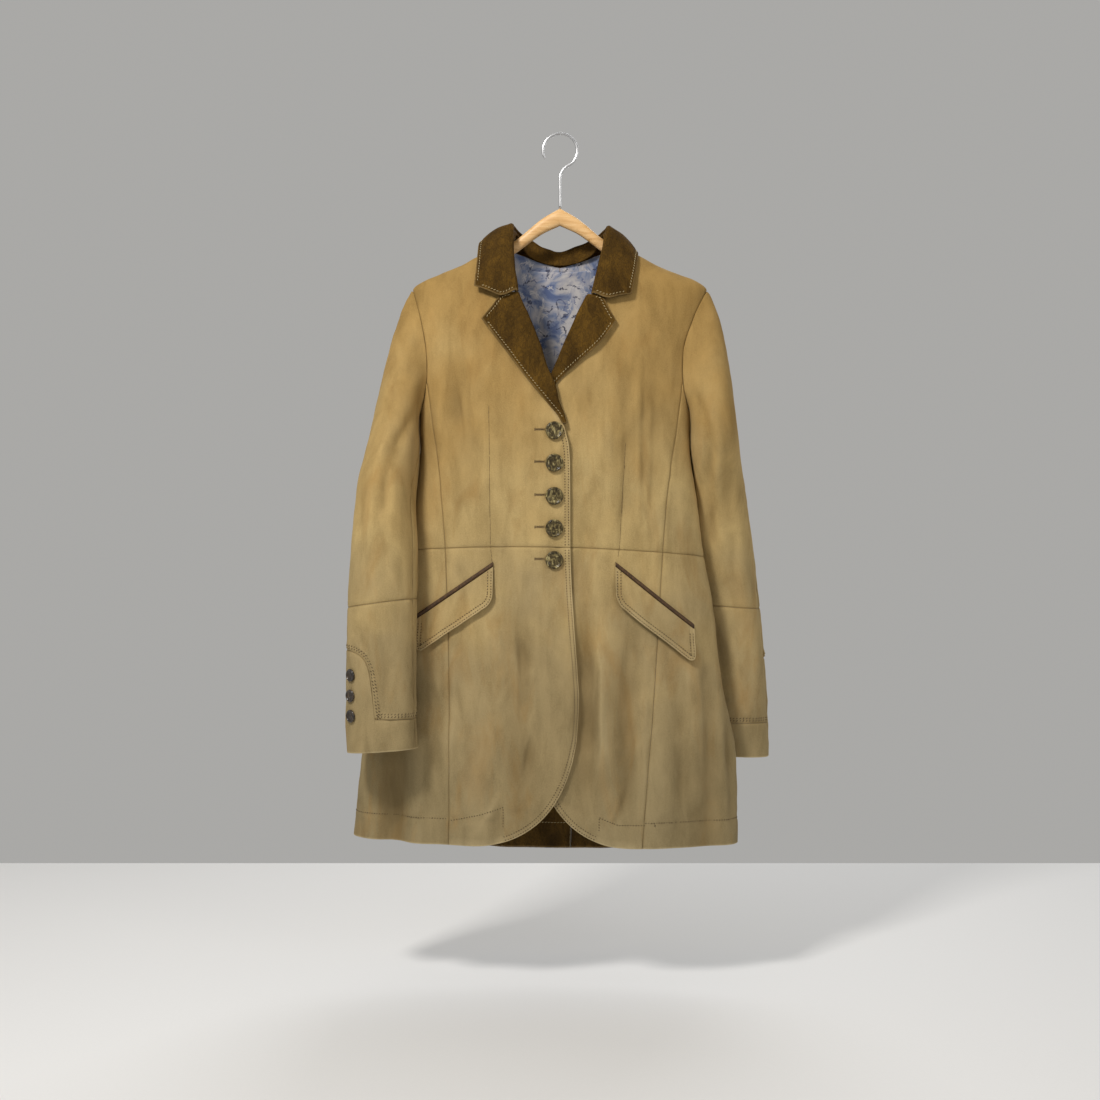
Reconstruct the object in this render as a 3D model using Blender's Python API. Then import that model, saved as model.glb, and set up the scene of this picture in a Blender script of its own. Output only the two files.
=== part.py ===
# Tan suede coat with brown collar and lapels, hung on a wooden hanger, one solid per cut piece.
import math

import bmesh
import bpy
import numpy as np

# Leather and seams, in metres.
WALL = 0.0020
COLLAR_WALL = 0.0018
LINING_WALL = 0.0010
SEAM_GAP = 0.0003
CUFF_GAP = 0.0010

# Grid counts of the panels.
SEAM_ROWS = 6
SKIRT_ROWS = 13
FRONT_COLUMNS = 9
SIDE_COLUMNS = 6
BACK_COLUMNS = 7
CAP_ROWS = 6
ARM_ROWS = 4
FOREARM_ROWS = 5
CUFF_ROWS = 2

# Shares of the rows from the shoulder down the armhole and the neck edge.
ARMHOLE_SHARES = (0.0, 0.08, 0.27, 0.50, 0.76, 1.0)
NECK_SHARES = (0.0, 0.04, 0.20, 0.44, 0.72, 1.0)
NECK_FOOT = -0.3150

# Level sections of the body: width each side, depth to the front and back, and middle.
FLATNESS = 0.8
SECTION_COLUMNS = ("height", "half_width", "front_depth", "back_depth", "centre_x")
SECTIONS = [
    (-0.1395, 0.062, 0.018, 0.028, 0.000),
    (-0.1780, 0.133, 0.030, 0.034, 0.000),
    (-0.2136, 0.199, 0.042, 0.040, -0.001),
    (-0.2500, 0.198, 0.050, 0.044, -0.004),
    (-0.3000, 0.192, 0.057, 0.047, -0.007),
    (-0.3600, 0.186, 0.063, 0.048, -0.007),
    (-0.4200, 0.184, 0.068, 0.046, -0.007),
    (-0.5000, 0.194, 0.064, 0.042, -0.008),
    (-0.5700, 0.203, 0.060, 0.040, -0.008),
    (-0.6320, 0.216, 0.063, 0.046, -0.009),
    (-0.7410, 0.231, 0.066, 0.054, -0.011),
    (-0.8390, 0.253, 0.070, 0.060, -0.015),
    (-1.0000, 0.263, 0.076, 0.068, -0.022),
]

# Soft folds of the body: where each runs, how wide, and how far in (minus) or out.
FOLD_COLUMNS = ("x_top", "z_top", "x_bottom", "z_bottom", "half_width", "depth", "face")
FOLDS = [
    (-0.222, -0.700, -0.222, -1.160, 0.020, -0.013, 1),
    (-0.190, -0.720, -0.188, -1.160, 0.020, 0.006, 1),
    (-0.110, -0.640, -0.105, -1.150, 0.026, 0.005, 1),
    (-0.055, -0.620, -0.050, -1.050, 0.024, -0.005, 1),
    (0.036, -0.590, 0.034, -0.950, 0.016, -0.006, 1),
    (0.058, -0.620, 0.058, -1.050, 0.018, 0.005, 1),
    (0.120, -0.640, 0.128, -1.160, 0.026, 0.006, 1),
    (0.190, -0.620, 0.205, -1.160, 0.022, -0.008, 1),
    (0.120, -0.280, 0.090, -0.580, 0.022, -0.005, 1),
    (-0.130, -0.280, -0.105, -0.560, 0.022, -0.004, 1),
    (-0.150, -0.580, -0.165, -1.160, 0.028, 0.008, -1),
    (-0.070, -0.560, -0.085, -1.160, 0.026, -0.008, -1),
    (0.060, -0.560, 0.070, -1.160, 0.026, -0.008, -1),
    (0.150, -0.580, 0.165, -1.160, 0.028, 0.008, -1),
    (0.110, -0.260, 0.085, -0.600, 0.030, -0.005, -1),
    (-0.110, -0.260, -0.085, -0.600, 0.030, -0.005, -1),
]

# Armhole, an upright ellipse on the body's side.
ARMHOLE_MIDDLE = -0.2990
ARMHOLE_HALF_HEIGHT = 0.0855
ARMHOLE_HALF_ANGLE = math.radians(26.0)
ARMHOLE_SPLIT = math.radians(118.0)

# Seams between front, side and back panels, as distances from the body's middle.
SEAM_COLUMNS = ("height", "front", "back")
SEAMS = [
    (-0.3391, 0.1720, 0.1720),
    (-0.4000, 0.1640, 0.1560),
    (-0.4700, 0.1530, 0.1370),
    (-0.5600, 0.1452, 0.1260),
    (-0.6200, 0.1420, 0.1270),
    (-0.7410, 0.1360, 0.1330),
    (-1.0000, 0.1250, 0.1450),
]
BACK_NECK_DROP = 0.0350
BACK_NECK_BENDS = ((math.radians(16.0), 0.0050), (math.radians(62.0), 0.0205))
BACK_SEAM_TURN = (math.radians(0.0), math.radians(2.0), math.radians(8.0))

# Waist and hem lines.
WAIST = -0.5610
WAIST_SIDE_DROP = 0.0080
LEAN = 0.0200
HEM = -0.9550
HEM_BACK_DROP = 0.0280

# Front edge and roll line of each front, by height, and the cutaway curve below.
CENTRE_FRONT = -0.0080
RIGHT_EDGE = [
    (-0.1395, -0.0620), (-0.1500, -0.0640), (-0.1694, -0.0625), (-0.2199, -0.0587),
    (-0.2568, -0.0436), (-0.2872, -0.0317), (-0.3202, -0.0211), (-0.3440, -0.0106),
    (-0.3664, -0.0053), (-0.3862, 0.0026), (-0.4100, 0.0074), (-0.4253, 0.0111),
    (-0.4506, 0.0128), (-0.5600, 0.0135), (-0.7570, 0.0247),
]
LEFT_EDGE = [
    (-0.1395, 0.0620), (-0.1500, 0.0610), (-0.1640, 0.0559), (-0.1993, 0.0492),
    (-0.2417, 0.0304), (-0.2912, 0.0080), (-0.3228, -0.0055), (-0.3440, -0.0150),
    (-0.3862, -0.0240), (-0.4506, -0.0288), (-0.5600, -0.0295), (-0.7570, -0.0407),
]
ROLL_ROOM = 0.0046
ROLL_FOOT = -0.3880
COLLAR_ROOM = 0.0026
NOTCH_HEIGHT = -0.2350
CUTAWAY_TOP = -0.7570
CUTAWAY_WIDTH = 0.1430
CUTAWAY_POWER = 2.4
LAP_INSET_TOP = 0.0088
LAP_INSET = 0.0042
LAP_BLEND = 0.0700

# Sleeves: level rings by height. Each has its middle, half sizes and turn.
RING_COLUMNS = ("height", "centre_x", "centre_y", "half_width", "half_depth", "turn")
RIGHT_RINGS = [
    (-0.4300, -0.2270, -0.022, 0.0308, 0.060, 5.0),
    (-0.4900, -0.2312, -0.052, 0.0345, 0.049, 17.0),
    (-0.5600, -0.2320, -0.064, 0.0408, 0.045, 18.0),
    (-0.6350, -0.2336, -0.0715, 0.0443, 0.041, 19.0),
    (-0.7100, -0.2345, -0.073, 0.0465, 0.036, 19.0),
    (-0.7800, -0.2345, -0.0745, 0.0472, 0.033, 18.0),
    (-0.8300, -0.2322, -0.0755, 0.0478, 0.031, 17.0),
]
LEFT_RINGS = [
    (-0.4300, 0.2140, 0.014, 0.0320, 0.060, 4.0),
    (-0.4900, 0.2205, 0.033, 0.0362, 0.050, 12.0),
    (-0.5600, 0.2270, 0.044, 0.0405, 0.045, 16.0),
    (-0.6350, 0.2330, 0.050, 0.0440, 0.041, 18.0),
    (-0.7100, 0.2385, 0.053, 0.0462, 0.036, 18.0),
    (-0.7800, 0.2430, 0.057, 0.0470, 0.033, 18.0),
    (-0.8530, 0.2450, 0.060, 0.0478, 0.031, 17.0),
]
SLEEVE_FLATNESS = 0.8
CAP_TOP_PULL = 0.120
CAP_UNDER_PULL = 0.022
RING_TOP_PULL = 0.200
RING_UNDER_PULL = 0.045
SLEEVE_COLUMNS = ("elbow", "elbow_lean", "cuff_top", "hem", "hem_lean", "vent_face")
RIGHT_SLEEVE = (-0.6340, -0.0060, -0.7830, -0.8260, -0.0040, 1)
LEFT_SLEEVE = (-0.6420, -0.0030, -0.8030, -0.8500, -0.0010, -1)
VENT_RISE = 0.088
VENT_ANGLE = math.radians(94.0)
VENT_POWERS = (5.0, 4.0)

# Lapels: the outer edge as height and x, then the top edge as x and height from gorge to tip.
RIGHT_LAPEL_EDGE = [
    (-0.2582, -0.1043), (-0.2912, -0.0792), (-0.3426, -0.0409), (-0.3730, -0.0158),
    (-0.3800, -0.0090),
]
RIGHT_LAPEL_TOP = [(-0.0590, -0.2222), (-0.0779, -0.2292), (-0.1043, -0.2582)]
LEFT_LAPEL_EDGE = [
    (-0.2621, 0.0739), (-0.2912, 0.0528), (-0.3202, 0.0198), (-0.3440, -0.0050),
    (-0.3480, -0.0080),
]
LEFT_LAPEL_TOP = [(0.0400, -0.2262), (0.0548, -0.2312), (0.0739, -0.2621)]
LAPEL_ROWS = 11
LAPEL_LIFT = 0.0036
ROLL_RADIUS = 0.0036
ROLL_TURNS = ((1.2, -1.0), (0.2, -1.0), (-0.55, -0.72), (-0.9, 0.0), (-0.55, 0.72), (0.2, 1.0))

# Collar by stations around the neck: roll line, outer edge, neck seam, and dip at the notch.
COLLAR_COLUMNS = ("roll_x", "roll_y", "roll_z", "edge_x", "edge_y", "edge_z",
                  "seam_x", "seam_y", "seam_z", "dip")
COLLAR = [
    (-0.0560, -0.0470, -0.2205, -0.1150, -0.0465, -0.2130, -0.0600, -0.0370, -0.2205, 0.0097),
    (-0.0625, -0.0330, -0.1694, -0.1125, -0.0345, -0.1853, -0.0655, -0.0215, -0.1745, 0.0),
    (-0.0640, -0.0040, -0.1225, -0.1088, -0.0020, -0.1475, -0.0585, -0.0010, -0.1370, 0.0),
    (-0.0480, 0.0290, -0.1340, -0.0830, 0.0500, -0.1640, -0.0430, 0.0200, -0.1610, 0.0),
    (0.0000, 0.0420, -0.1510, 0.0000, 0.0520, -0.1930, 0.0000, 0.0300, -0.1730, 0.0),
    (0.0480, 0.0290, -0.1340, 0.0850, 0.0500, -0.1660, 0.0430, 0.0200, -0.1610, 0.0),
    (0.0640, -0.0040, -0.1260, 0.1060, -0.0040, -0.1618, 0.0585, -0.0010, -0.1370, 0.0),
    (0.0559, -0.0320, -0.1640, 0.1010, -0.0370, -0.1947, 0.0595, -0.0205, -0.1700, 0.0),
    (0.0420, -0.0490, -0.2245, 0.0950, -0.0490, -0.2245, 0.0440, -0.0372, -0.2245, 0.0060),
]
COLLAR_BOW = 0.0030
COLLAR_TURNS = ((-1.0, 0.0), (-0.7, 0.7), (0.0, 1.0), (0.7, 0.7), (1.0, 0.0))
COLLAR_STEPS = 20

# Pocket flaps and welts, from the inner to the outer top corner.
RIGHT_POCKET = ((-0.0885, -0.5868), (-0.1900, -0.6560))
LEFT_POCKET = ((0.0725, -0.5868), (0.1770, -0.6700))
FLAP_DEPTH = 0.0470
FLAP_CORNER = 0.0120
FLAP_COLUMNS = 10
FLAP_ROWS = 4
FLAP_REST = 0.0009
FLAP_LIFT = 0.0030
WELT_WIDTH = 0.0065
WELT_WALL = 0.0030

# Lining of the upper back and hem facing of the back skirt.
LINING_HALF_ANGLE = math.radians(40.0)
LINING_BOTTOM = -0.3700
FACING_HEIGHT = 0.0850
INSIDE_GAP = 0.0008
LINING_GAP = 0.0020

# Buttons.
FRONT_BUTTON_HEIGHTS = (-0.4073, -0.4496, -0.4931, -0.5354, -0.5776)
FRONT_BUTTON_RADIUS = 0.0118
CUFF_BUTTON_HEIGHTS = (-0.7270, -0.7535, -0.7800)
CUFF_BUTTON_RADIUS = 0.0083
CUFF_BUTTON_ANGLE = math.radians(51.0)
BUTTON_SIDES = 14
FRONT_BUTTON_REST = 0.0005
CUFF_BUTTON_REST = 0.0001

# Hanger bar under the shoulders, and its wire hook with the inside top at the origin.
BAR_TOP = [(0.0, -0.1000), (0.022, -0.1130)]
BAR_CLEARANCE = 0.0031
BAR_NECK_DROP = 0.0014
BAR_END = 0.1810
BAR_HEIGHT = [(0.0, 0.0240), (0.060, 0.0180), (0.130, 0.0180), (0.181, 0.0120)]
BAR_HALF_THICKNESS = 0.0055
OVAL_POWER = 0.9
BAR_STATIONS = 22
BAR_SIDES = 10
HOOK_INSIDE_RADIUS = 0.0215
HOOK_WIRE_RADIUS = 0.0018
HOOK_SIDES = 8


def columns_of(names, rows):
    """Turn a table into named columns, lowest height first."""
    values = np.array(sorted(rows), dtype=float)
    return {name: values[:, index] for index, name in enumerate(names)}


def smooth(at, xs, ys):
    """Smooth curve through the given points that never overshoots them."""
    at = np.clip(np.asarray(at, dtype=float), xs[0], xs[-1])
    step = np.diff(xs)
    slope = np.diff(ys) / step
    tangent = np.zeros(len(xs))
    tangent[0] = slope[0]
    tangent[-1] = slope[-1]
    for k in range(1, len(xs) - 1):
        if slope[k - 1] * slope[k] > 0:
            near = 2 * step[k] + step[k - 1]
            far = step[k] + 2 * step[k - 1]
            tangent[k] = (near + far) / (near / slope[k - 1] + far / slope[k])
    index = np.clip(np.searchsorted(xs, at) - 1, 0, len(xs) - 2)
    t = (at - xs[index]) / step[index]
    return ((1 + 2 * t) * (1 - t) ** 2 * ys[index] + t * (1 - t) ** 2 * step[index] * tangent[index]
            + t * t * (3 - 2 * t) * ys[index + 1] + t * t * (t - 1) * step[index] * tangent[index + 1])


def ease(t):
    """Smooth step from 0 to 1."""
    t = np.clip(t, 0.0, 1.0)
    return t * t * (3 - 2 * t)


def unit(vectors):
    """Vectors of length one."""
    return vectors / np.maximum(np.linalg.norm(vectors, axis=-1, keepdims=True), 1e-12)


SECTION = columns_of(SECTION_COLUMNS, SECTIONS)
SEAM = columns_of(SEAM_COLUMNS, SEAMS)


def section(z, name):
    """One column of the section table at any height."""
    return smooth(z, SECTION["height"], SECTION[name])


def body_plain(angle, z):
    """Body surface without folds; angle 0 is the centre front, a quarter turn the side."""
    cosine = np.cos(angle)
    depth = np.where(cosine >= 0, section(z, "front_depth"), section(z, "back_depth"))
    x = section(z, "centre_x") + section(z, "half_width") * np.sin(angle)
    y = -np.sign(cosine) * depth * np.abs(cosine) ** FLATNESS
    return np.stack([x, y, z + 0 * angle], axis=-1)


def front_angle(x, z):
    """Angle of the body's front at a place seen from the front."""
    share = (x - section(z, "centre_x")) / section(z, "half_width")
    return np.arcsin(np.clip(share, -1.0, 1.0))


def normal_of(surface, a, b, step_a, step_b):
    """Outward normal of a surface given by two parameters."""
    along = surface(a + step_a, b) - surface(a - step_a, b)
    across = surface(a, b + step_b) - surface(a, b - step_b)
    return unit(np.cross(along, across))


def fold_height(angle, z):
    """How far the soft folds move the body surface."""
    total = np.zeros(np.broadcast(angle, z).shape)
    for row in FOLDS:
        fold = dict(zip(FOLD_COLUMNS, row))
        share = (z - fold["z_top"]) / (fold["z_bottom"] - fold["z_top"])
        x = fold["x_top"] + (fold["x_bottom"] - fold["x_top"]) * share
        middle = front_angle(x, z)
        if fold["face"] < 0:
            middle = np.where(middle >= 0, np.pi - middle, -np.pi - middle)
        turn = (angle - middle + np.pi) % (2 * np.pi) - np.pi
        reach = np.hypot(section(z, "half_width") * np.cos(middle), 0.8 * section(z, "front_depth"))
        across = np.exp(-(turn * reach / fold["half_width"]) ** 2)
        window = np.sin(np.pi * np.clip(share, 0.0, 1.0)) ** 1.2
        total = total + fold["depth"] * across * window
    return total


def body(angle, z):
    """Body surface with its folds."""
    normal = normal_of(body_plain, angle, z, 0.01, 0.002)
    return body_plain(angle, z) + fold_height(angle, z)[..., None] * normal


def body_normal(angle, z):
    """Outward normal of the folded body surface."""
    return normal_of(body, angle, z, 0.01, 0.002)


def body_moved(angle, z, outward):
    """Body surface moved out along its normal."""
    return body(angle, z) + np.asarray(outward)[..., None] * body_normal(angle, z)


def table_line(rows):
    """Curve through a table of height and place."""
    values = np.array(sorted(rows), dtype=float)
    return lambda z: smooth(z, values[:, 0], values[:, 1])


right_edge = table_line(RIGHT_EDGE)
left_edge = table_line(LEFT_EDGE)


def waist_height(angle):
    """Height of the waist seam around the body."""
    x = section(WAIST, "centre_x") + section(WAIST, "half_width") * np.sin(angle)
    return WAIST - WAIST_SIDE_DROP * np.sin(angle) ** 2 - LEAN * x


def hem_height(angle):
    """Height of the hem around the body, lower at the back."""
    x = section(HEM, "centre_x") + section(HEM, "half_width") * np.sin(angle)
    behind = ease((np.abs((angle + np.pi) % (2 * np.pi) - np.pi) - np.pi / 2) / (np.pi / 2))
    return HEM - HEM_BACK_DROP * behind - LEAN * x


def armhole(side, turn):
    """Point of the armhole; turn 0 is the shoulder, a quarter the front, a half the underarm."""
    angle = side * (np.pi / 2 - ARMHOLE_HALF_ANGLE * np.sin(turn))
    z = ARMHOLE_MIDDLE + ARMHOLE_HALF_HEIGHT * np.cos(turn)
    return np.stack([angle, z], axis=-1)


def panel_seam(side, face, z):
    """Seam from the armhole to the hem, on the front or back."""
    half = smooth(z, SEAM["height"], SEAM["front" if face > 0 else "back"])
    angle = np.arcsin(np.clip(half / section(z, "half_width"), 0.0, 1.0))
    angle = side * (angle if face > 0 else np.pi - angle)
    return np.stack([angle, z + 0 * angle], axis=-1)


def back_seam(side, z):
    """Centre back seam, which wanders to one side towards the hem."""
    heights = np.array([HEM, WAIST, ARMHOLE_MIDDLE])
    turn = smooth(z, heights, np.array(BACK_SEAM_TURN[::-1]))
    angle = np.pi - turn if side > 0 else -np.pi - turn
    return np.stack([angle, z + 0 * angle], axis=-1)


def seam_at_waist(side, face):
    """Height where a panel seam meets the waist seam."""
    z = WAIST
    for _ in range(6):
        z = float(waist_height(panel_seam(side, face, np.array(z))[0]))
    return z


def seam_at_hem(side, face):
    """Height where a panel seam meets the hem."""
    z = HEM
    for _ in range(6):
        z = float(hem_height(panel_seam(side, face, np.array(z))[0]))
    return z


def coons(left, right, top, bottom):
    """Fill a four sided patch from its border points."""
    v = np.linspace(0, 1, len(left))[:, None, None]
    u = np.linspace(0, 1, len(top))[None, :, None]
    ruled = (1 - u) * left[:, None] + u * right[:, None] + (1 - v) * top[None] + v * bottom[None]
    corners = ((1 - u) * (1 - v) * left[0] + u * (1 - v) * right[0]
               + (1 - u) * v * left[-1] + u * v * right[-1])
    return ruled - corners


def join_runs(*runs):
    """Join runs of border points that share their end points."""
    return np.concatenate([runs[0]] + [run[1:] for run in runs[1:]])


def between(start, end, count):
    """Evenly spaced points from start to end."""
    share = np.linspace(0, 1, count + 1)[:, None]
    return (1 - share) * np.asarray(start) + share * np.asarray(end)


def seam_run(side, face, top, bottom, count):
    """Points down a panel seam."""
    return panel_seam(side, face, np.linspace(top, bottom, count + 1))


def waist_run(start, end, count):
    """Points along the waist seam between two angles."""
    angle = np.linspace(start, end, count + 1)
    return np.stack([angle, waist_height(angle)], axis=-1)


def front_edge_run(edge, heights):
    """Points down a front edge."""
    return np.stack([front_angle(edge(heights), heights), heights], axis=-1)


def edge_waist(edge):
    """Height where a front edge meets the waist seam."""
    z = WAIST
    for _ in range(6):
        z = float(waist_height(front_angle(edge(np.array(z)), np.array(z))))
    return z


def roll_room(z):
    """How far the front stops short of the roll line, so that the lapel can turn round it."""
    top = SECTION["height"][-1]
    room = ROLL_ROOM + COLLAR_ROOM * ease((z - NOTCH_HEIGHT) / 0.015)
    return room * ease((z - ROLL_FOOT) / 0.020) * ease((top - z) / 0.012)


def bodice_front(side, edge):
    """Front panel above the waist."""
    neck = SECTION["height"][-1]
    heights = np.concatenate([neck + np.array(NECK_SHARES) * (NECK_FOOT - neck),
                              np.linspace(NECK_FOOT, edge_waist(edge), SEAM_ROWS + 1)[1:]])
    left = front_edge_run(lambda z: edge(z) + side * roll_room(z), heights)
    turns = ARMHOLE_SPLIT * np.array(ARMHOLE_SHARES)
    start = armhole(side, ARMHOLE_SPLIT)
    down = seam_run(side, 1, start[1], seam_at_waist(side, 1), SEAM_ROWS)
    right = join_runs(armhole(side, turns), down)
    right[len(turns) - 1] = start
    top = between(left[0], right[0], FRONT_COLUMNS)
    bottom = waist_run(left[-1][0], right[-1][0], FRONT_COLUMNS)
    return coons(left, right, top, bottom)


def bodice_side(side):
    """Side panel under the armhole."""
    turns = np.linspace(ARMHOLE_SPLIT, 2 * np.pi - ARMHOLE_SPLIT, SIDE_COLUMNS + 1)
    top = armhole(side, turns)
    left = seam_run(side, 1, top[0][1], seam_at_waist(side, 1), SEAM_ROWS)
    right = seam_run(side, -1, top[-1][1], seam_at_waist(side, -1), SEAM_ROWS)
    left[0] = top[0]
    right[0] = top[-1]
    return coons(left, right, top, waist_run(left[-1][0], right[-1][0], SIDE_COLUMNS))


def back_neck(side):
    """Back neckline from the neck point to the centre back."""
    neck = SECTION["height"][-1]
    centre = back_seam(side, np.array(neck - BACK_NECK_DROP))
    bends = [(side * (np.pi / 2 + turn), neck - drop) for turn, drop in BACK_NECK_BENDS]
    return np.array([(side * np.pi / 2, neck), *bends, tuple(centre)])


def bodice_back(side):
    """Back panel above the waist."""
    neck = back_neck(side)
    rows = len(ARMHOLE_SHARES) + SEAM_ROWS - len(neck)
    low = float(waist_height(back_seam(side, np.array(WAIST))[0]))
    left = join_runs(neck, back_seam(side, np.linspace(neck[-1][1], low, rows + 1)))
    turns = 2 * np.pi - ARMHOLE_SPLIT * np.array(ARMHOLE_SHARES)
    start = armhole(side, 2 * np.pi - ARMHOLE_SPLIT)
    down = seam_run(side, -1, start[1], seam_at_waist(side, -1), SEAM_ROWS)
    right = join_runs(armhole(side, turns), down)
    right[len(turns) - 1] = start
    top = between(left[0], right[0], BACK_COLUMNS)
    return coons(left, right, top, waist_run(left[-1][0], right[-1][0], BACK_COLUMNS))


def cutaway_run(side, edge, start, end, count):
    """Points of the rounded cutaway between two shares of its quarter turn."""
    turn = np.linspace(start, end, count + 1) * np.pi / 2
    corner_x = float(edge(CUTAWAY_TOP)) + side * CUTAWAY_WIDTH
    low = float(hem_height(front_angle(np.array(corner_x), np.array(HEM))))
    x = corner_x - side * CUTAWAY_WIDTH * np.cos(turn) ** (2 / CUTAWAY_POWER)
    z = CUTAWAY_TOP + (low - CUTAWAY_TOP) * np.sin(turn) ** (2 / CUTAWAY_POWER)
    return np.stack([front_angle(x, z), z], axis=-1)


def skirt_front(side, edge):
    """Front panel below the waist with its rounded cutaway."""
    curve_rows = 5
    curve_columns = FRONT_COLUMNS - 1
    heights = np.linspace(edge_waist(edge), CUTAWAY_TOP, SKIRT_ROWS - curve_rows + 1)
    left = join_runs(front_edge_run(edge, heights), cutaway_run(side, edge, 0.0, 0.5, curve_rows))
    right = seam_run(side, 1, seam_at_waist(side, 1), seam_at_hem(side, 1), SKIRT_ROWS)
    top = waist_run(left[0][0], right[0][0], FRONT_COLUMNS)
    round_part = cutaway_run(side, edge, 0.5, 1.0, curve_columns)
    angle = np.linspace(round_part[-1][0], right[-1][0], FRONT_COLUMNS - curve_columns + 1)
    straight = np.stack([angle, hem_height(angle)], axis=-1)
    straight[0] = round_part[-1]
    return coons(left, right, top, join_runs(round_part, straight))


def skirt_panel(left, right, count):
    """Side or back panel below the waist between two seams."""
    top = waist_run(left[0][0], right[0][0], count)
    angle = np.linspace(left[-1][0], right[-1][0], count + 1)
    bottom = np.stack([angle, hem_height(angle)], axis=-1)
    return coons(left, right, top, bottom)


def skirt_side(side):
    """Side panel below the waist."""
    left = seam_run(side, 1, seam_at_waist(side, 1), seam_at_hem(side, 1), SKIRT_ROWS)
    right = seam_run(side, -1, seam_at_waist(side, -1), seam_at_hem(side, -1), SKIRT_ROWS)
    return skirt_panel(left, right, SIDE_COLUMNS)


def skirt_back(side):
    """Back panel below the waist."""
    top = float(waist_height(back_seam(side, np.array(WAIST))[0]))
    low = float(hem_height(back_seam(side, np.array(HEM - HEM_BACK_DROP))[0]))
    left = back_seam(side, np.linspace(top, low, SKIRT_ROWS + 1))
    right = seam_run(side, -1, seam_at_waist(side, -1), seam_at_hem(side, -1), SKIRT_ROWS)
    return skirt_panel(left, right, BACK_COLUMNS)


def lap_inset(x, z):
    """How far the under front lies behind the upper one near the front edge."""
    reach = right_edge(z) + LAP_BLEND - x
    depth = LAP_INSET + (LAP_INSET_TOP - LAP_INSET) * ease((z + 0.46) / 0.06)
    return depth * ease(reach / LAP_BLEND)


def under_front(angle, z):
    """Body surface as the under front follows it."""
    return body_moved(angle, z, -lap_inset(body(angle, z)[..., 0], z))


def sleeve_ring(rings, turn, z):
    """Level ring of a sleeve; turn 0 faces away from the body, a quarter turn the front."""
    table = columns_of(RING_COLUMNS, rings)
    side = np.sign(rings[0][1])
    value = {name: smooth(z, table["height"], table[name]) for name in RING_COLUMNS[1:]}
    wide = side * value["half_width"] * np.cos(turn)
    deep = -value["half_depth"] * np.sign(np.sin(turn)) * np.abs(np.sin(turn)) ** SLEEVE_FLATNESS
    spin = np.radians(value["turn"])
    x = value["centre_x"] + wide * np.cos(spin) + deep * np.sin(spin)
    y = value["centre_y"] - wide * np.sin(spin) + deep * np.cos(spin)
    return np.stack([x, y, z + 0 * turn], axis=-1)


def sleeve(rings, turn, down):
    """Sleeve surface; down 0 is the armhole, 1 the first ring and 2 the last ring."""
    turn, down = np.broadcast_arrays(np.asarray(turn, dtype=float), np.asarray(down, dtype=float))
    side = np.sign(rings[0][1])
    first = rings[0][0]
    last = rings[-1][0]
    start = armhole(side, turn)
    a = body(start[..., 0], start[..., 1])
    b = sleeve_ring(rings, turn, np.full(turn.shape, first))
    over = (1 + np.cos(turn)) / 2
    pull = CAP_UNDER_PULL + (CAP_TOP_PULL - CAP_UNDER_PULL) * over
    outward = np.stack([side * (0.50 + 0.15 * over), -0.25 * np.sin(turn), -0.85 + 0.05 * over], -1)
    ta = unit(outward) * pull[..., None]
    reach = RING_UNDER_PULL + (RING_TOP_PULL - RING_UNDER_PULL) * over
    drift = (sleeve_ring(rings, turn, np.full(turn.shape, first - 0.01)) - b) / 0.01
    tb = drift * reach[..., None]
    t = np.clip(down, -0.1, 1.0)[..., None]
    cap = ((1 + 2 * t) * (1 - t) ** 2 * a + t * (1 - t) ** 2 * ta
           + t * t * (3 - 2 * t) * b + t * t * (t - 1) * tb)
    arm = sleeve_ring(rings, turn, first + np.clip(down - 1, 0.0, 1.0) * (last - first))
    return np.where(down[..., None] <= 1, cap, arm)


def sleeve_down(rings, z):
    """Sleeve parameter at a height below the first ring."""
    return 1 + (z - rings[0][0]) / (rings[-1][0] - rings[0][0])


def sleeve_turns(face):
    """Columns of the front or back half of a sleeve, matching the armhole points."""
    turns = np.concatenate([ARMHOLE_SPLIT * np.array(ARMHOLE_SHARES),
                            np.linspace(ARMHOLE_SPLIT, np.pi, SIDE_COLUMNS // 2 + 1)[1:]])
    return turns if face > 0 else 2 * np.pi - turns


def cuff_top(sizes, turns, face):
    """Top line of the cuff, rising in a curve to the vent."""
    angle = turns if face > 0 else 2 * np.pi - turns
    across, upright = VENT_POWERS
    rise = VENT_RISE * np.clip(1 - (angle / VENT_ANGLE) ** across, 0.0, 1.0) ** (1 / upright)
    return sizes["cuff_top"] + (rise if sizes["vent_face"] == face else 0 * rise)


def sleeve_pieces(name, rings, row):
    """The six pieces of one sleeve as grids of turn and down."""
    sizes = dict(zip(SLEEVE_COLUMNS, row))
    pieces = []
    for face, part in ((1, "top"), (-1, "under")):
        turns = sleeve_turns(face)
        elbow = sizes["elbow"] + sizes["elbow_lean"] * np.cos(turns)
        cuff = cuff_top(sizes, turns, face)
        hem = sizes["hem"] + sizes["hem_lean"] * np.cos(turns)
        cap = np.linspace(0, 1, CAP_ROWS + 1)[:, None] + 0 * turns
        arm = 1 + np.linspace(0, 1, ARM_ROWS + 1)[1:, None] * (sleeve_down(rings, elbow) - 1)
        fore = np.linspace(0, 1, FOREARM_ROWS + 1)[:, None]
        fore = sleeve_down(rings, elbow + fore * (cuff - elbow))
        low = np.linspace(0, 1, CUFF_ROWS + 1)[:, None]
        low = sleeve_down(rings, cuff + low * (hem - cuff))
        pieces.append((f"sleeve_{part}_{name}", turns, np.concatenate([cap, arm])))
        pieces.append((f"forearm_{part}_{name}", turns, fore))
        pieces.append((f"cuff_{part}_{name}", turns, low))
    return pieces


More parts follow.
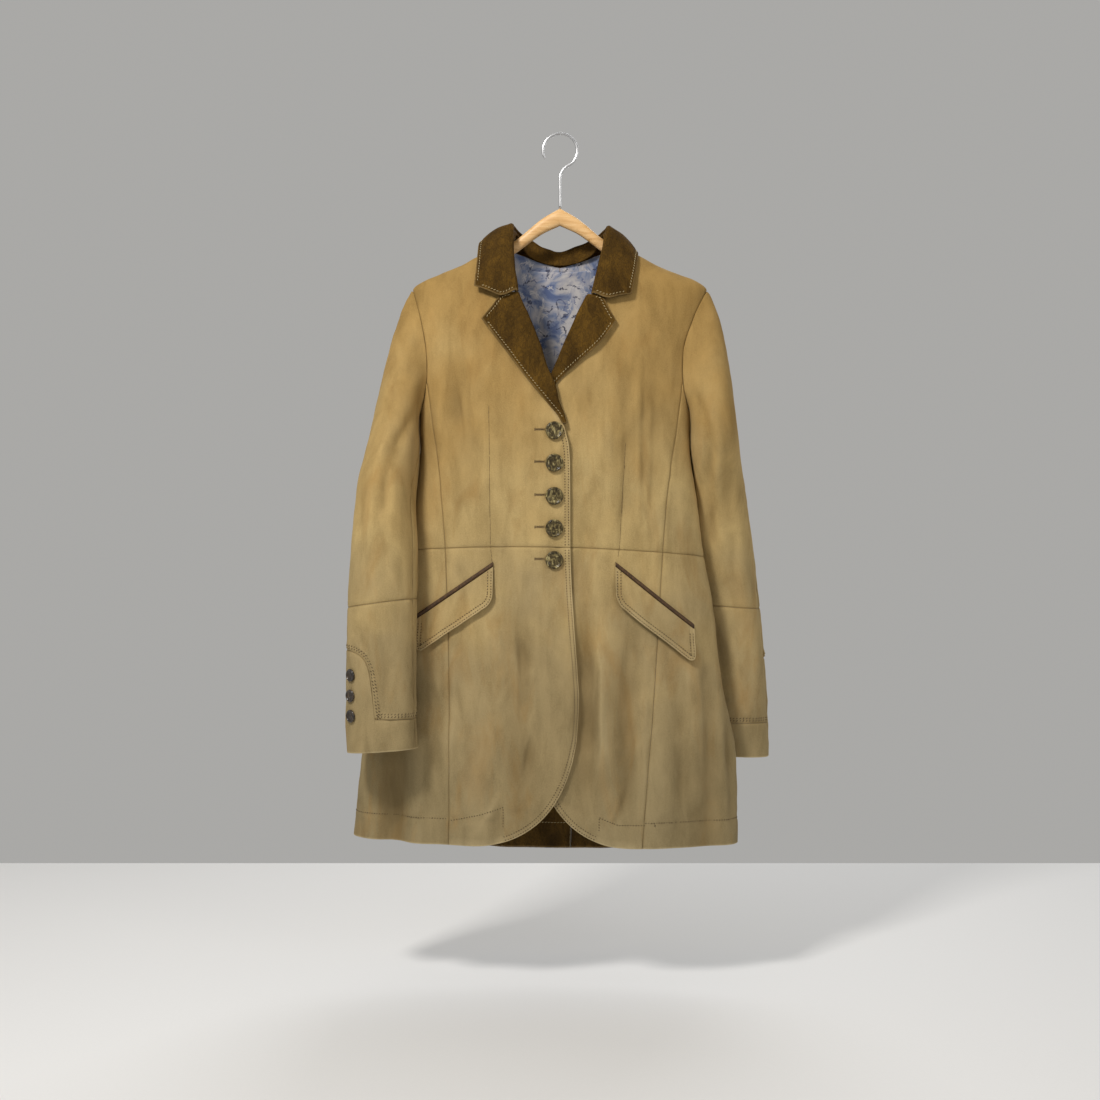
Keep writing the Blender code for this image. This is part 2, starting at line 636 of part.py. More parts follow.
def pulled_in(points, normals, distance):
    """Move the border of a grid inwards, square to the border."""
    moved = points.copy()
    sides = (((0, slice(None)), (1, slice(None))), ((-1, slice(None)), (-2, slice(None))),
             ((slice(None), 0), (slice(None), 1)), ((slice(None), -1), (slice(None), -2)))
    for border, inside in sides:
        inward = np.cross(normals[border], np.gradient(points[border], axis=0))
        sign = np.sign(np.sum(inward * (points[inside] - points[border]), axis=-1, keepdims=True))
        moved[border] += distance * sign * unit(inward)
    return moved


def grid_normals(points):
    """Normals of a grid of points from its own shape."""
    return unit(np.cross(np.gradient(points, axis=1), np.gradient(points, axis=0)))


def make_object(name, vertices, faces, material):
    """Make one named mesh object with its faces turned out."""
    mesh = bpy.data.meshes.new(name)
    mesh.from_pydata([tuple(map(float, v)) for v in vertices], [], faces)
    work = bmesh.new()
    work.from_mesh(mesh)
    bmesh.ops.recalc_face_normals(work, faces=work.faces)
    work.to_mesh(mesh)
    work.free()
    mesh.materials.append(material)
    item = bpy.data.objects.new(name, mesh)
    bpy.context.scene.collection.objects.link(item)
    return item


def wall(name, outer, inner, material):
    """Closed wall between two grids of points of the same size."""
    rows, cols = outer.shape[:2]
    count = rows * cols
    vertices = np.concatenate([outer.reshape(-1, 3), inner.reshape(-1, 3)])
    faces = []
    for r in range(rows - 1):
        for c in range(cols - 1):
            a = r * cols + c
            for half in ((a, a + 1, a + cols + 1), (a, a + cols + 1, a + cols)):
                faces.append(half)
                faces.append(tuple(count + v for v in reversed(half)))
    ring = ([c for c in range(cols)] + [r * cols + cols - 1 for r in range(1, rows)]
            + [(rows - 1) * cols + c for c in range(cols - 2, -1, -1)]
            + [r * cols for r in range(rows - 2, 0, -1)])
    for k, a in enumerate(ring):
        b = ring[(k + 1) % len(ring)]
        faces.append((b, a, count + a, count + b))
    return make_object(name, vertices, faces, material)


def lathe(name, centre, normal, upward, profile, sides, material):
    """Closed turned solid from a profile of radius and height, with its axis along the normal."""
    across = unit(np.cross(upward, normal))
    rise = np.cross(normal, across)
    vertices = []
    faces = []
    for radius, height in profile[1:-1]:
        for k in range(sides):
            turn = 2 * np.pi * k / sides
            ring = np.cos(turn) * across + np.sin(turn) * rise
            vertices.append(centre + radius * ring + height * normal)
    rings = len(profile) - 2
    for r in range(rings - 1):
        for k in range(sides):
            n = (k + 1) % sides
            faces.append((r * sides + k, r * sides + n, (r + 1) * sides + n, (r + 1) * sides + k))
    for ring, (radius, height) in ((0, profile[0]), (rings - 1, profile[-1])):
        vertices.append(centre + height * normal)
        for k in range(sides):
            faces.append((ring * sides + k, ring * sides + (k + 1) % sides, len(vertices) - 1))
    return make_object(name, vertices, faces, material)


def tube(name, path, radii, upward, sides, material):
    """Closed bar along a path with an oval section of given half sizes."""
    path = np.asarray(path, dtype=float)
    along = unit(np.gradient(path, axis=0))
    across = unit(np.cross(along, np.broadcast_to(upward, along.shape)))
    rise = np.cross(across, along)
    vertices = []
    for p, a, r, (wide, high) in zip(path, across, rise, radii):
        for k in range(sides):
            turn = 2 * np.pi * k / sides
            flat = np.sign(np.cos(turn)) * abs(np.cos(turn)) ** OVAL_POWER
            steep = np.sign(np.sin(turn)) * abs(np.sin(turn)) ** OVAL_POWER
            vertices.append(p + wide * flat * a + high * steep * r)
    faces = []
    for i in range(len(path) - 1):
        for k in range(sides):
            n = (k + 1) % sides
            faces.append((i * sides + k, i * sides + n, (i + 1) * sides + n, (i + 1) * sides + k))
    faces.append(tuple(range(sides)))
    faces.append(tuple((len(path) - 1) * sides + k for k in range(sides)))
    return make_object(name, vertices, faces, material)


def make_material(name, colour, roughness, metallic=0.0):
    """Plain Principled material."""
    material = bpy.data.materials.new(name)
    material.use_nodes = True
    shader = material.node_tree.nodes["Principled BSDF"]
    shader.inputs["Base Color"].default_value = (*colour, 1.0)
    shader.inputs["Roughness"].default_value = roughness
    shader.inputs["Metallic"].default_value = metallic
    return material


def body_wall(name, grid, surface, colour):
    """Wall of one body panel from its grid of angles and heights."""
    points = surface(grid[..., 0], grid[..., 1])
    normals = normal_of(surface, grid[..., 0], grid[..., 1], 0.01, 0.002)
    points = pulled_in(points, normals, SEAM_GAP / 2)
    return wall(name, points, points - WALL * normals, make_material(f"{name}_suede", colour, 0.9))


def sleeve_wall(name, rings, turns, down, gap, colour):
    """Wall of one sleeve piece from its grid of turn and down."""
    side = np.sign(rings[0][1])
    turn = np.broadcast_to(turns, down.shape)

    def surface(a, b):
        return sleeve(rings, a, b)

    points = surface(turn, down)
    normals = side * normal_of(surface, turn, down, 0.02, 0.004)
    points = pulled_in(points, normals, gap / 2)
    return wall(name, points, points - WALL * normals, make_material(f"{name}_suede", colour, 0.9))


def front_surface(x, z, outward, under):
    """Place on a front seen at x and z, moved out; the under front lies deeper near the edge."""
    angle = front_angle(x, z)
    deep = lap_inset(x, z) if under else 0.0
    return body_moved(angle, z, outward - deep)


def lapel(name, side, edge, outer_rows, top, colour):
    """Lapel turned back over the roll line, with a short return behind the front."""
    outer = table_line(outer_rows)
    low = min(row[0] for row in outer_rows)
    share = np.linspace(0, 1, LAPEL_ROWS + 1)
    roll_z = low + (top[0][1] - low) * share
    roll = np.stack([edge(roll_z), roll_z], axis=-1)
    roll[-1] = top[0]
    edge_z = low + (top[-1][1] - low) * share
    rim = np.stack([outer(edge_z), edge_z], axis=-1)
    head = join_runs(between(top[0], top[1], 1), between(top[1], top[2], 2))
    foot = between(roll[0], rim[0], 3)
    flat = coons(roll, rim, foot, head)
    across = unit(np.stack([side * np.ones(len(roll)), np.zeros(len(roll))], axis=-1))
    under = side > 0
    columns = []
    base = -WALL / 2
    spread = np.minimum(1.0, np.linalg.norm(rim - roll, axis=-1) / 0.04)
    radius = ROLL_RADIUS * (0.68 + 0.32 * spread)
    for reach, height in ROLL_TURNS:
        place = roll + across * (reach * radius)[:, None]
        columns.append(front_surface(place[:, 0], place[:, 1], base + height * radius, under))
    for k in range(1, flat.shape[1]):
        place = flat[:, k]
        lift = radius + LAPEL_LIFT * spread ** 2 * k / (flat.shape[1] - 1)
        columns.append(front_surface(place[:, 0], place[:, 1], base + lift, under))
    middle = np.stack(columns, axis=1)
    normals = grid_normals(middle)
    middle = pulled_in(middle, normals, SEAM_GAP)
    half = COLLAR_WALL / 2 * normals
    return wall(name, middle + half, middle - half, make_material(f"{name}_suede", colour, 0.95))


def collar(name, colour):
    """Collar with its stand inside, roll line on top and fall outside."""
    table = np.array(COLLAR, dtype=float)
    position = np.arange(len(COLLAR), dtype=float)
    at = np.linspace(0, len(COLLAR) - 1, COLLAR_STEPS + 1)
    value = {key: smooth(at, position, table[:, k]) for k, key in enumerate(COLLAR_COLUMNS)}
    roll = np.stack([value["roll_x"], value["roll_y"], value["roll_z"]], axis=-1)
    edge = np.stack([value["edge_x"], value["edge_y"], value["edge_z"]], axis=-1)
    seam = np.stack([value["seam_x"], value["seam_y"], value["seam_z"]], axis=-1)
    up = unit(roll - (edge + seam) / 2)
    fall = edge - roll
    out = unit(fall - np.sum(fall * up, axis=-1, keepdims=True) * up)
    columns = [seam]
    for across, height in COLLAR_TURNS:
        columns.append(roll + ROLL_RADIUS * (across * out + (height - 1.0) * up))
    for share in (0.36, 0.68, 1.0):
        bow = COLLAR_BOW * math.sin(math.pi * share) + ROLL_RADIUS * (1.0 - share)
        place = roll + fall * share + bow * out
        notch = 1.0 if share < 0.5 else (1.0 - share) / 0.64
        place = place - np.array([0.0, 0.0, 1.0]) * (value["dip"] * notch)[:, None]
        columns.append(place)
    middle = np.stack(columns, axis=1)
    normals = grid_normals(middle)
    middle = pulled_in(middle, normals, SEAM_GAP)
    half = COLLAR_WALL / 2 * normals
    return wall(name, middle + half, middle - half, make_material(f"{name}_suede", colour, 0.95))


def flap(name, corners, colour):
    """Pocket flap with rounded lower corners, lying on the skirt and lifting below."""
    start, end = (np.array(c) for c in corners)
    length = np.linalg.norm(end - start)
    u = (1 - np.cos(np.linspace(0, np.pi, FLAP_COLUMNS + 1))) / 2
    from_end = np.minimum(u, 1 - u) * length
    into = np.clip(1 - from_end / FLAP_CORNER, 0.0, 1.0)
    depth = FLAP_DEPTH - FLAP_CORNER * (1 - np.sqrt(1 - into ** 2))
    v = np.linspace(0, 1, FLAP_ROWS + 1)[:, None]
    x = start[0] + (end[0] - start[0]) * u + 0 * v
    z = start[1] + (end[1] - start[1]) * u - depth * v
    outward = FLAP_REST + FLAP_LIFT * v ** 1.5 + 0 * x
    inner = front_surface(x, z, outward, False)
    outer = front_surface(x, z, outward + WALL, False)
    return wall(name, outer, inner, make_material(f"{name}_suede", colour, 0.9))


def welt(name, corners, colour):
    """Narrow rounded welt along the top of a flap."""
    start, end = (np.array(c) for c in corners)
    u = np.linspace(0, 1, FLAP_COLUMNS + 1)
    v = np.array([0.0005, 0.3, 0.7, 1.0])[:, None] * WELT_WIDTH + 0.0004
    x = start[0] + (end[0] - start[0]) * u + 0 * v
    z = start[1] + (end[1] - start[1]) * u + v
    crown = np.array([0.55, 1.0, 1.0, 0.55])[:, None] * WELT_WALL
    inner = front_surface(x, z, FLAP_REST + 0 * x, False)
    outer = front_surface(x, z, FLAP_REST + crown + 0 * x, False)
    return wall(name, outer, inner, make_material(f"{name}_suede", colour, 0.9))


def button(name, centre, normal, radius, rest, colour):
    """Round button with a raised rim and a dished face."""
    profile = [(0.0, 0.0), (0.80, 0.0), (1.0, 0.13), (0.98, 0.30), (0.86, 0.36), (0.72, 0.24),
               (0.0, 0.22)]
    scaled = [(r * radius, h * radius) for r, h in profile]
    base = centre + rest * normal
    upward = np.array([0.0, 0.0, 1.0])
    material = make_material(f"{name}_horn", colour, 0.3)
    return lathe(name, base, normal, upward, scaled, BUTTON_SIDES, material)


def back_lining(name, colour):
    """Lining of the upper back, hanging inside the wall below the neck seam."""
    u = np.linspace(-1, 1, 2 * BACK_COLUMNS // 2 + 2)
    angle = np.pi + u * LINING_HALF_ANGLE
    neck = SECTION["height"][-1] - BACK_NECK_DROP + (u ** 2) * 0.0110
    v = np.linspace(0, 1, 7)[:, None]
    z = (neck - 0.006) * (1 - v) + LINING_BOTTOM * v
    grid = np.broadcast_to(angle, z.shape)
    outer = body_moved(grid, z, np.full(z.shape, -WALL - LINING_GAP))
    inner = body_moved(grid, z, np.full(z.shape, -WALL - LINING_GAP - LINING_WALL))
    return wall(name, outer, inner, make_material(f"{name}_cloth", colour, 0.8))


def hem_facing(name, side, colour):
    """Facing inside the back hem, from the centre back seam to the side."""
    low = HEM - HEM_BACK_DROP
    first = float(back_seam(side, np.array(low))[0])
    last = float(panel_seam(side, -1, np.array(low))[0])
    angle = np.linspace(first, last, BACK_COLUMNS + 1)
    v = np.linspace(0, 1, 4)[:, None]
    z = hem_height(angle) + 0.0010 + FACING_HEIGHT * (1 - v)
    grid = np.broadcast_to(angle, z.shape)
    outer = body_moved(grid, z, np.full(z.shape, -WALL - INSIDE_GAP))
    inner = body_moved(grid, z, np.full(z.shape, -WALL - INSIDE_GAP - COLLAR_WALL))
    normals = body_normal(grid, z)
    outer = pulled_in(outer, normals, SEAM_GAP)
    inner = pulled_in(inner, normals, SEAM_GAP)
    return wall(name, outer, inner, make_material(f"{name}_suede", colour, 0.95))


def hanger_bar(name, colour):
    """Wooden bar whose top edge follows the shoulders from inside."""
    reach = np.linspace(0.062, BAR_END, 8)
    heights = np.linspace(-0.2136, -0.1395, 60)
    ridge = np.interp(reach, section(heights, "half_width")[::-1], heights[::-1])
    top_x = np.concatenate([[p[0] for p in BAR_TOP], reach])
    lower = BAR_CLEARANCE + BAR_NECK_DROP * ease((0.090 - reach) / 0.020)
    top_z = np.concatenate([[p[1] for p in BAR_TOP], ridge - lower])
    x = np.linspace(-BAR_END, BAR_END, BAR_STATIONS + 1)
    tops = smooth(np.abs(x), top_x, top_z)
    sizes = np.array(BAR_HEIGHT)
    high = smooth(np.abs(x), sizes[:, 0], sizes[:, 1]) / 2
    path = np.stack([x, 0 * x, tops - high], axis=-1)
    tilt = unit(np.gradient(path, axis=0))[:, 0]
    radii = [(BAR_HALF_THICKNESS * (0.6 if k in (0, BAR_STATIONS) else 1.0), h * t)
             for k, (h, t) in enumerate(zip(high, tilt))]
    material = make_material(f"{name}_wood", colour, 0.45)
    return tube(name, path, radii, np.array([0.0, 0.0, 1.0]), BAR_SIDES, material)


def hanger_hook(name, colour):
    """Wire hook standing on the bar, its inside top at the origin."""
    radius = HOOK_INSIDE_RADIUS + HOOK_WIRE_RADIUS
    middle = -HOOK_INSIDE_RADIUS
    turn = np.radians(np.linspace(-48, 208, 17))
    ring = np.stack([radius * np.cos(turn), 0 * turn, middle + radius * np.sin(turn)], axis=-1)
    foot = BAR_TOP[0][1] + SEAM_GAP
    stem = np.array([(0.0, 0.0, foot), (0.0, 0.0, -0.074), (0.0, 0.0, -0.058), (0.0020, 0.0, -0.0510),
                     (0.0075, 0.0, -0.0440)])
    path = np.concatenate([stem, ring])
    radii = [(HOOK_WIRE_RADIUS, HOOK_WIRE_RADIUS)] * len(path)
    material = make_material(f"{name}_steel", colour, 0.3, 1.0)
    return tube(name, path, radii, np.array([0.0, 1.0, 0.0]), HOOK_SIDES, material)


def build():
    """Make every piece of the coat and its hanger."""
    for item in list(bpy.data.objects):
        bpy.data.objects.remove(item, do_unlink=True)
    tan = (0.42, 0.27, 0.11)
    brown = (0.12, 0.065, 0.02)
    dark = (0.05, 0.022, 0.008)
    blue = (0.28, 0.34, 0.52)
    horn = (0.04, 0.025, 0.018)
    for word, side, edge, surface in (("right", -1, right_edge, body), ("left", 1, left_edge, under_front)):
        body_wall(f"bodice_front_{word}", bodice_front(side, edge), surface, tan)
        body_wall(f"bodice_side_{word}", bodice_side(side), body, tan)
        body_wall(f"bodice_back_{word}", bodice_back(side), body, tan)
        body_wall(f"skirt_front_{word}", skirt_front(side, edge), surface, tan)
        body_wall(f"skirt_side_{word}", skirt_side(side), body, tan)
        body_wall(f"skirt_back_{word}", skirt_back(side), body, tan)
        hem_facing(f"hem_facing_{word}", side, brown)
    for word, rings, row in (("right", RIGHT_RINGS, RIGHT_SLEEVE), ("left", LEFT_RINGS, LEFT_SLEEVE)):
        for name, turns, down in sleeve_pieces(word, rings, row):
            gap = CUFF_GAP if name.startswith("cuff") else SEAM_GAP
            sleeve_wall(name, rings, turns, down, gap, tan)
    lapel("lapel_right", -1, right_edge, RIGHT_LAPEL_EDGE, RIGHT_LAPEL_TOP, brown)
    lapel("lapel_left", 1, left_edge, LEFT_LAPEL_EDGE, LEFT_LAPEL_TOP, brown)
    collar("collar", brown)
    for word, corners in (("right", RIGHT_POCKET), ("left", LEFT_POCKET)):
        flap(f"pocket_flap_{word}", corners, tan)
        welt(f"pocket_welt_{word}", corners, dark)
    back_lining("lining_back", blue)
    for k, z in enumerate(FRONT_BUTTON_HEIGHTS):
        angle = front_angle(np.array(CENTRE_FRONT), np.array(z))
        normal = body_normal(angle, np.array(z))
        button(f"button_front_{k + 1}", body(angle, np.array(z)), normal, FRONT_BUTTON_RADIUS,
               FRONT_BUTTON_REST, horn)
    for word, rings, turn in (("right", RIGHT_RINGS, CUFF_BUTTON_ANGLE),
                              ("left", LEFT_RINGS, 2 * np.pi - CUFF_BUTTON_ANGLE)):
        side = np.sign(rings[0][1])
        drop = RIGHT_SLEEVE[3] - LEFT_SLEEVE[3] if word == "left" else 0.0
        for k, z in enumerate(CUFF_BUTTON_HEIGHTS):
            down = sleeve_down(rings, np.array(z - drop))
            centre = sleeve(rings, np.array(turn), down)
            normal = side * normal_of(lambda a, b: sleeve(rings, a, b), np.array(turn), down, 0.02, 0.004)
            button(f"button_cuff_{word}_{k + 1}", centre, normal, CUFF_BUTTON_RADIUS,
                   CUFF_BUTTON_REST, horn)
    hanger_bar("hanger_bar", (0.72, 0.45, 0.18))
    hanger_hook("hanger_hook", (0.7, 0.7, 0.72))


build()
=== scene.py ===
# Tan suede coat with brown collar and lapels, hung on a wooden hanger.
import math

import bpy
import numpy as np
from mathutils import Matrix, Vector
from mathutils.kdtree import KDTree


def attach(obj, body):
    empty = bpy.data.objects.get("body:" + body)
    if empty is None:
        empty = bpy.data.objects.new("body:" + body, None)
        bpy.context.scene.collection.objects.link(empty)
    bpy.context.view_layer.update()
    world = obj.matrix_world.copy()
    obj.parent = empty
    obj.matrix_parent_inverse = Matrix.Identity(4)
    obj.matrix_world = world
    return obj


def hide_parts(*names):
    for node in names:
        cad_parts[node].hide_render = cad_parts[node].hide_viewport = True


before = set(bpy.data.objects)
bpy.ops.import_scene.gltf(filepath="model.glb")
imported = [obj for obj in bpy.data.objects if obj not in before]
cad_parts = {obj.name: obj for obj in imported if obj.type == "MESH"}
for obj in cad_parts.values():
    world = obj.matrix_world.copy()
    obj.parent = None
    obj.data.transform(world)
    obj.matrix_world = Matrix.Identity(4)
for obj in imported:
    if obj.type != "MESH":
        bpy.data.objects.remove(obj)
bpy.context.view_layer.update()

# Leather and seams. Lengths are in metres, but for the tables that metres() turns from millimetres.
WALL = 0.002
COLLAR_WALL = 0.0018
LINING_WALL = 0.001
SEAM_GAP = 0.0003

# Each kind of cloth: its material slot, its wall, and its looks outside and inside.
CLOTHS = {
    "coat": ("tan_suede", WALL, ("tan_suede", "lining")),
    "flap": ("tan_suede", WALL, ("tan_suede",)),
    "trim": ("brown_suede", COLLAR_WALL, ("brown_suede",)),
    "lining": ("lining_cloth", LINING_WALL, ("lining",)),
}

# What each panel has at its top, bottom, left and right border.
FRONT_BORDERS = ("seam", "seam", "stitched", "seam")
SEWN_BORDERS = ("seam", "seam", "seam", "seam")
CUTAWAY_BORDERS = ("seam", "stitched", "stitched", "seam")
HUNG_BORDERS = ("seam", "edge", "seam", "seam")
LEAF_BORDERS = ("edge", "edge", "none", "trimmed")
FLAP_BORDERS = ("none", "stitched", "stitched", "stitched")
LINING_BORDERS = ("edge", "none", "none", "none")
FACING_BORDERS = ("edge", "edge", "seam", "seam")
SLEEVE_ENDS = {"sleeve": "seam", "forearm": "puckered", "cuff": "edge"}

# Directions, the steps that normals are worked out from, and the rounds that find a meeting.
UP = np.array([0.0, 0.0, 1.0])
BEHIND = np.array([0.0, 1.0, 0.0])
BODY_STEPS = (0.01, 0.002)
SLEEVE_STEPS = (0.02, 0.004)
MEETING_ROUNDS = 6

# Grid counts of the panels, each a multiple of the density.
DENSITY = 8
SEAM_ROWS = 6 * DENSITY
SKIRT_ROWS = 13 * DENSITY
FRONT_COLUMNS = 9 * DENSITY
SIDE_COLUMNS = 6 * DENSITY
BACK_COLUMNS = 7 * DENSITY
CAP_ROWS = 6 * DENSITY
ARM_ROWS = 4 * DENSITY
FOREARM_ROWS = 5 * DENSITY
CUFF_ROWS = 2 * DENSITY
CURVE_ROWS = 5 * DENSITY
FACING_ROWS = 3 * DENSITY


def between(start, end, count):
    """Evenly spaced points from start to end."""
    share = np.linspace(0, 1, count + 1)[:, None]
    return (1 - share) * np.asarray(start) + share * np.asarray(end)


def join_runs(*runs):
    """Join runs of points that share their end points."""
    return np.concatenate([runs[0]] + [run[1:] for run in runs[1:]])


def refined(rows):
    """Add evenly spaced steps between the rows of a list."""
    return join_runs(*(between(a, b, DENSITY) for a, b in zip(rows, rows[1:])))


def metres(columns, rows, plain=()):
    """Table of millimetres turned to metres, apart from its plain columns."""
    return [tuple(v if key in plain else v / 1000 for key, v in zip(columns, row)) for row in rows]


# Shares of the rows from the shoulder down the armhole and the neck edge.
ARMHOLE_SHARES = refined((0.0, 0.08, 0.27, 0.5, 0.76, 1.0))[:, 0]
NECK_SHARES = refined((0.0, 0.04, 0.2, 0.44, 0.72, 1.0))[:, 0]
NECK_FOOT = -0.315

# Level sections of the body: width each side, depth to the front and back, and middle.
FLATNESS = 0.8
SECTION_COLUMNS = ("height", "half_width", "front_depth", "back_depth", "centre_x")
SECTIONS = metres(SECTION_COLUMNS, [
    (-139.5, 62, 18, 28, 0),
    (-178, 133, 30, 34, 0),
    (-213.6, 199, 42, 40, -1),
    (-250, 198, 50, 44, -4),
    (-300, 192, 57, 47, -7),
    (-360, 186, 63, 48, -7),
    (-420, 184, 68, 46, -7),
    (-500, 194, 64, 42, -8),
    (-570, 203, 60, 40, -8),
    (-632, 216, 63, 46, -9),
    (-741, 231, 66, 54, -11),
    (-839, 253, 70, 60, -15),
    (-1000, 263, 76, 68, -22),
])
NECK = SECTIONS[0][0]
NECK_HALF_WIDTH = SECTIONS[0][1]
SHOULDER_POINT = SECTIONS[2][0]

# Soft folds of the body: where each runs, how wide, and how far in (minus) or out.
FOLD_COLUMNS = ("x_top", "z_top", "x_bottom", "z_bottom", "half_width", "depth", "face")
FOLDS = metres(FOLD_COLUMNS, [
    (-222, -700, -222, -1160, 20, -13, 1),
    (-190, -720, -188, -1160, 20, 6, 1),
    (-110, -640, -105, -1150, 26, 5, 1),
    (-55, -620, -50, -1050, 24, -5, 1),
    (36, -590, 34, -950, 16, -6, 1),
    (58, -620, 58, -1050, 18, 5, 1),
    (120, -640, 128, -1160, 26, 6, 1),
    (190, -620, 205, -1160, 22, -8, 1),
    (120, -280, 90, -580, 22, -5, 1),
    (-130, -280, -105, -560, 22, -4, 1),
    (-150, -580, -165, -1160, 28, 8, -1),
    (-70, -560, -85, -1160, 26, -8, -1),
    (60, -560, 70, -1160, 26, -8, -1),
    (150, -580, 165, -1160, 28, 8, -1),
    (110, -260, 85, -600, 30, -5, -1),
    (-110, -260, -85, -600, 30, -5, -1),
], ("face",))

# Creases of the body: bow is how far the middle swings sideways, and lean makes one flank steeper.
CREASE_COLUMNS = FOLD_COLUMNS + ("bow", "lean")
CREASES = metres(CREASE_COLUMNS, [
    (88, -300, 82, -570, 12, -1.3, 1, 4, 0.35),
    (108, -290, 106, -540, 9, 1.8, 1, -3, -0.45),
    (128, -310, 118, -560, 11, -1.4, 1, 3, 0.5),
    (60, -360, 66, -520, 10, 1.2, 1, 2, -0.3),
    (12, -300, 40, -430, 12, -1.4, 1, 4, 0.4),
    (-150, -300, -128, -470, 9, -1.6, 1, 4, -0.5),
    (-120, -330, -98, -540, 10, 1.2, 1, 2, 0.35),
    (-60, -420, -52, -545, 10, -1, 1, 1, -0.45),
    (-60, -640, -52, -800, 9, -2.2, 1, 5, 0.5),
    (-40, -680, -34, -870, 8, 1.6, 1, 3, -0.3),
    (-28, -780, -48, -890, 9, -1.8, 1, -4, 0.4),
    (-90, -850, -80, -960, 8, -1.6, 1, 6, -0.5),
    (-78, -880, -115, -945, 7, 1.4, 1, 3, 0.35),
    (-140, -640, -150, -900, 12, 1.6, 1, 4, -0.45),
    (-176, -700, -180, -960, 9, -2.2, 1, 4, 0.5),
    (-236, -820, -232, -975, 8, -3, 1, 2, -0.3),
    (35, -630, 38, -910, 12, -2.8, 1, 1, -0.55),
    (50, -650, 50, -880, 9, 2, 1, 2, 0.5),
    (90, -620, 86, -940, 22, -2.2, 1, 4, 0.3),
    (46, -660, 46, -860, 7, 1.4, 1, 2, 0.4),
    (86, -680, 90, -930, 11, -2, 1, 4, -0.5),
    (100, -820, 72, -930, 8, -1.6, 1, 5, 0.35),
    (116, -720, 110, -900, 9, 1.4, 1, -3, -0.45),
    (150, -700, 156, -960, 10, -2, 1, 4, 0.5),
    (176, -640, 192, -960, 10, 2, 1, 3, -0.3),
    (222, -760, 232, -960, 9, -2.4, 1, 3, 0.4),
    (-165, -330, -140, -500, 12, 1.6, -1, 6, -0.5),
    (-130, -300, -90, -520, 10, -1.8, -1, 6, 0.35),
    (-30, -300, -45, -520, 12, 1.2, -1, -4, -0.45),
    (40, -320, 50, -540, 11, -1.4, -1, 4, 0.5),
    (135, -300, 110, -520, 11, -1.6, -1, -6, -0.3),
    (165, -340, 140, -520, 12, 1.6, -1, -5, 0.4),
    (-205, -640, -218, -950, 11, -2.4, -1, 5, -0.5),
    (-120, -640, -130, -970, 12, 2, -1, 4, 0.35),
    (-40, -640, -46, -960, 11, 1.8, -1, -4, -0.45),
    (30, -660, 36, -970, 10, -1.8, -1, 4, 0.5),
    (110, -640, 118, -950, 12, 2, -1, 5, -0.3),
    (200, -660, 214, -960, 11, -2.4, -1, -4, 0.4),
], ("face", "lean"))
CREASE_UNEVEN = 0.35
CREASE_DEPTH = 2.5
CREASE_BEAT = 0.085
CREASE_PHASE = 1.7
CREASE_POWER = 1.2
FOLD_DEPTH_SHARE = 0.8

# Creases of the sleeves, by turn in degrees and height.
SLEEVE_CREASE_COLUMNS = ("sleeve", "turn_top", "z_top", "turn_bottom", "z_bottom", "half_width", "depth")
SLEEVE_CREASES = metres(SLEEVE_CREASE_COLUMNS, [
    (-1, 128, -330, 118, -600, 10, -3),
    (-1, 100, -300, 92, -560, 12, 2),
    (-1, 60, -420, 74, -620, 14, -1.8),
    (-1, 30, -480, 60, -640, 12, 1.6),
    (-1, 120, -650, 112, -790, 9, -2.6),
    (-1, 100, -650, 98, -780, 9, 2.2),
    (-1, 82, -650, 84, -720, 8, -1.8),
    (-1, 52, -640, 50, -705, 10, 1.4),
    (-1, 235, -420, 245, -640, 14, -2.6),
    (-1, 275, -380, 285, -620, 13, 2),
    (-1, 250, -650, 255, -800, 11, -2),
    (-1, 320, -520, 300, -660, 14, -1.6),
    (1, 112, -330, 102, -610, 9, -3.4),
    (1, 90, -330, 80, -600, 10, 2.4),
    (1, 62, -400, 56, -620, 13, -1.8),
    (1, 36, -470, 40, -630, 12, 1.4),
    (1, 104, -650, 100, -800, 9, -2.4),
    (1, 76, -650, 70, -800, 10, 2),
    (1, 46, -660, 44, -790, 10, -1.6),
    (1, 235, -420, 245, -640, 14, -2.6),
    (1, 275, -380, 285, -620, 13, 2),
    (1, 250, -650, 252, -720, 11, -2),
    (1, 320, -520, 300, -660, 14, -1.6),
], ("sleeve", "turn_top", "turn_bottom"))
SLEEVE_CREASE_DEPTH = 1.2
SLEEVE_CREASE_PHASE = 1.3
SLEEVE_REACH = 0.046
CREASE_START = 0.25

# Darts of the fronts: top, waist and foot, each as x and height.
DARTS = [
    ((-0.0945, -0.374), (-0.0925, -0.559), (-0.09, -0.581)),
    ((0.0875, -0.422), (0.0785, -0.56), (0.076, -0.575)),
]
DART_WIDTH = 0.002
DART_DEPTH = 0.0013
DART_FADES = (0.04, 0.01)

# Rolled rims of the panels.
RIM = ((0.15, 0.00012), (0.5, 0.0), (0.85, 0.00012))
RIM_INSET = 0.0004

# Seams: their gap, their dark line, and the extra grid lines beside them.
SEAM_LINE = 0.0001
SEAM_SHADE = 0.007
SEAM_LINE_REACH = 0.0012
SEAM_LINES = ((0.0011, 0.6), (0.0026, 0.8))

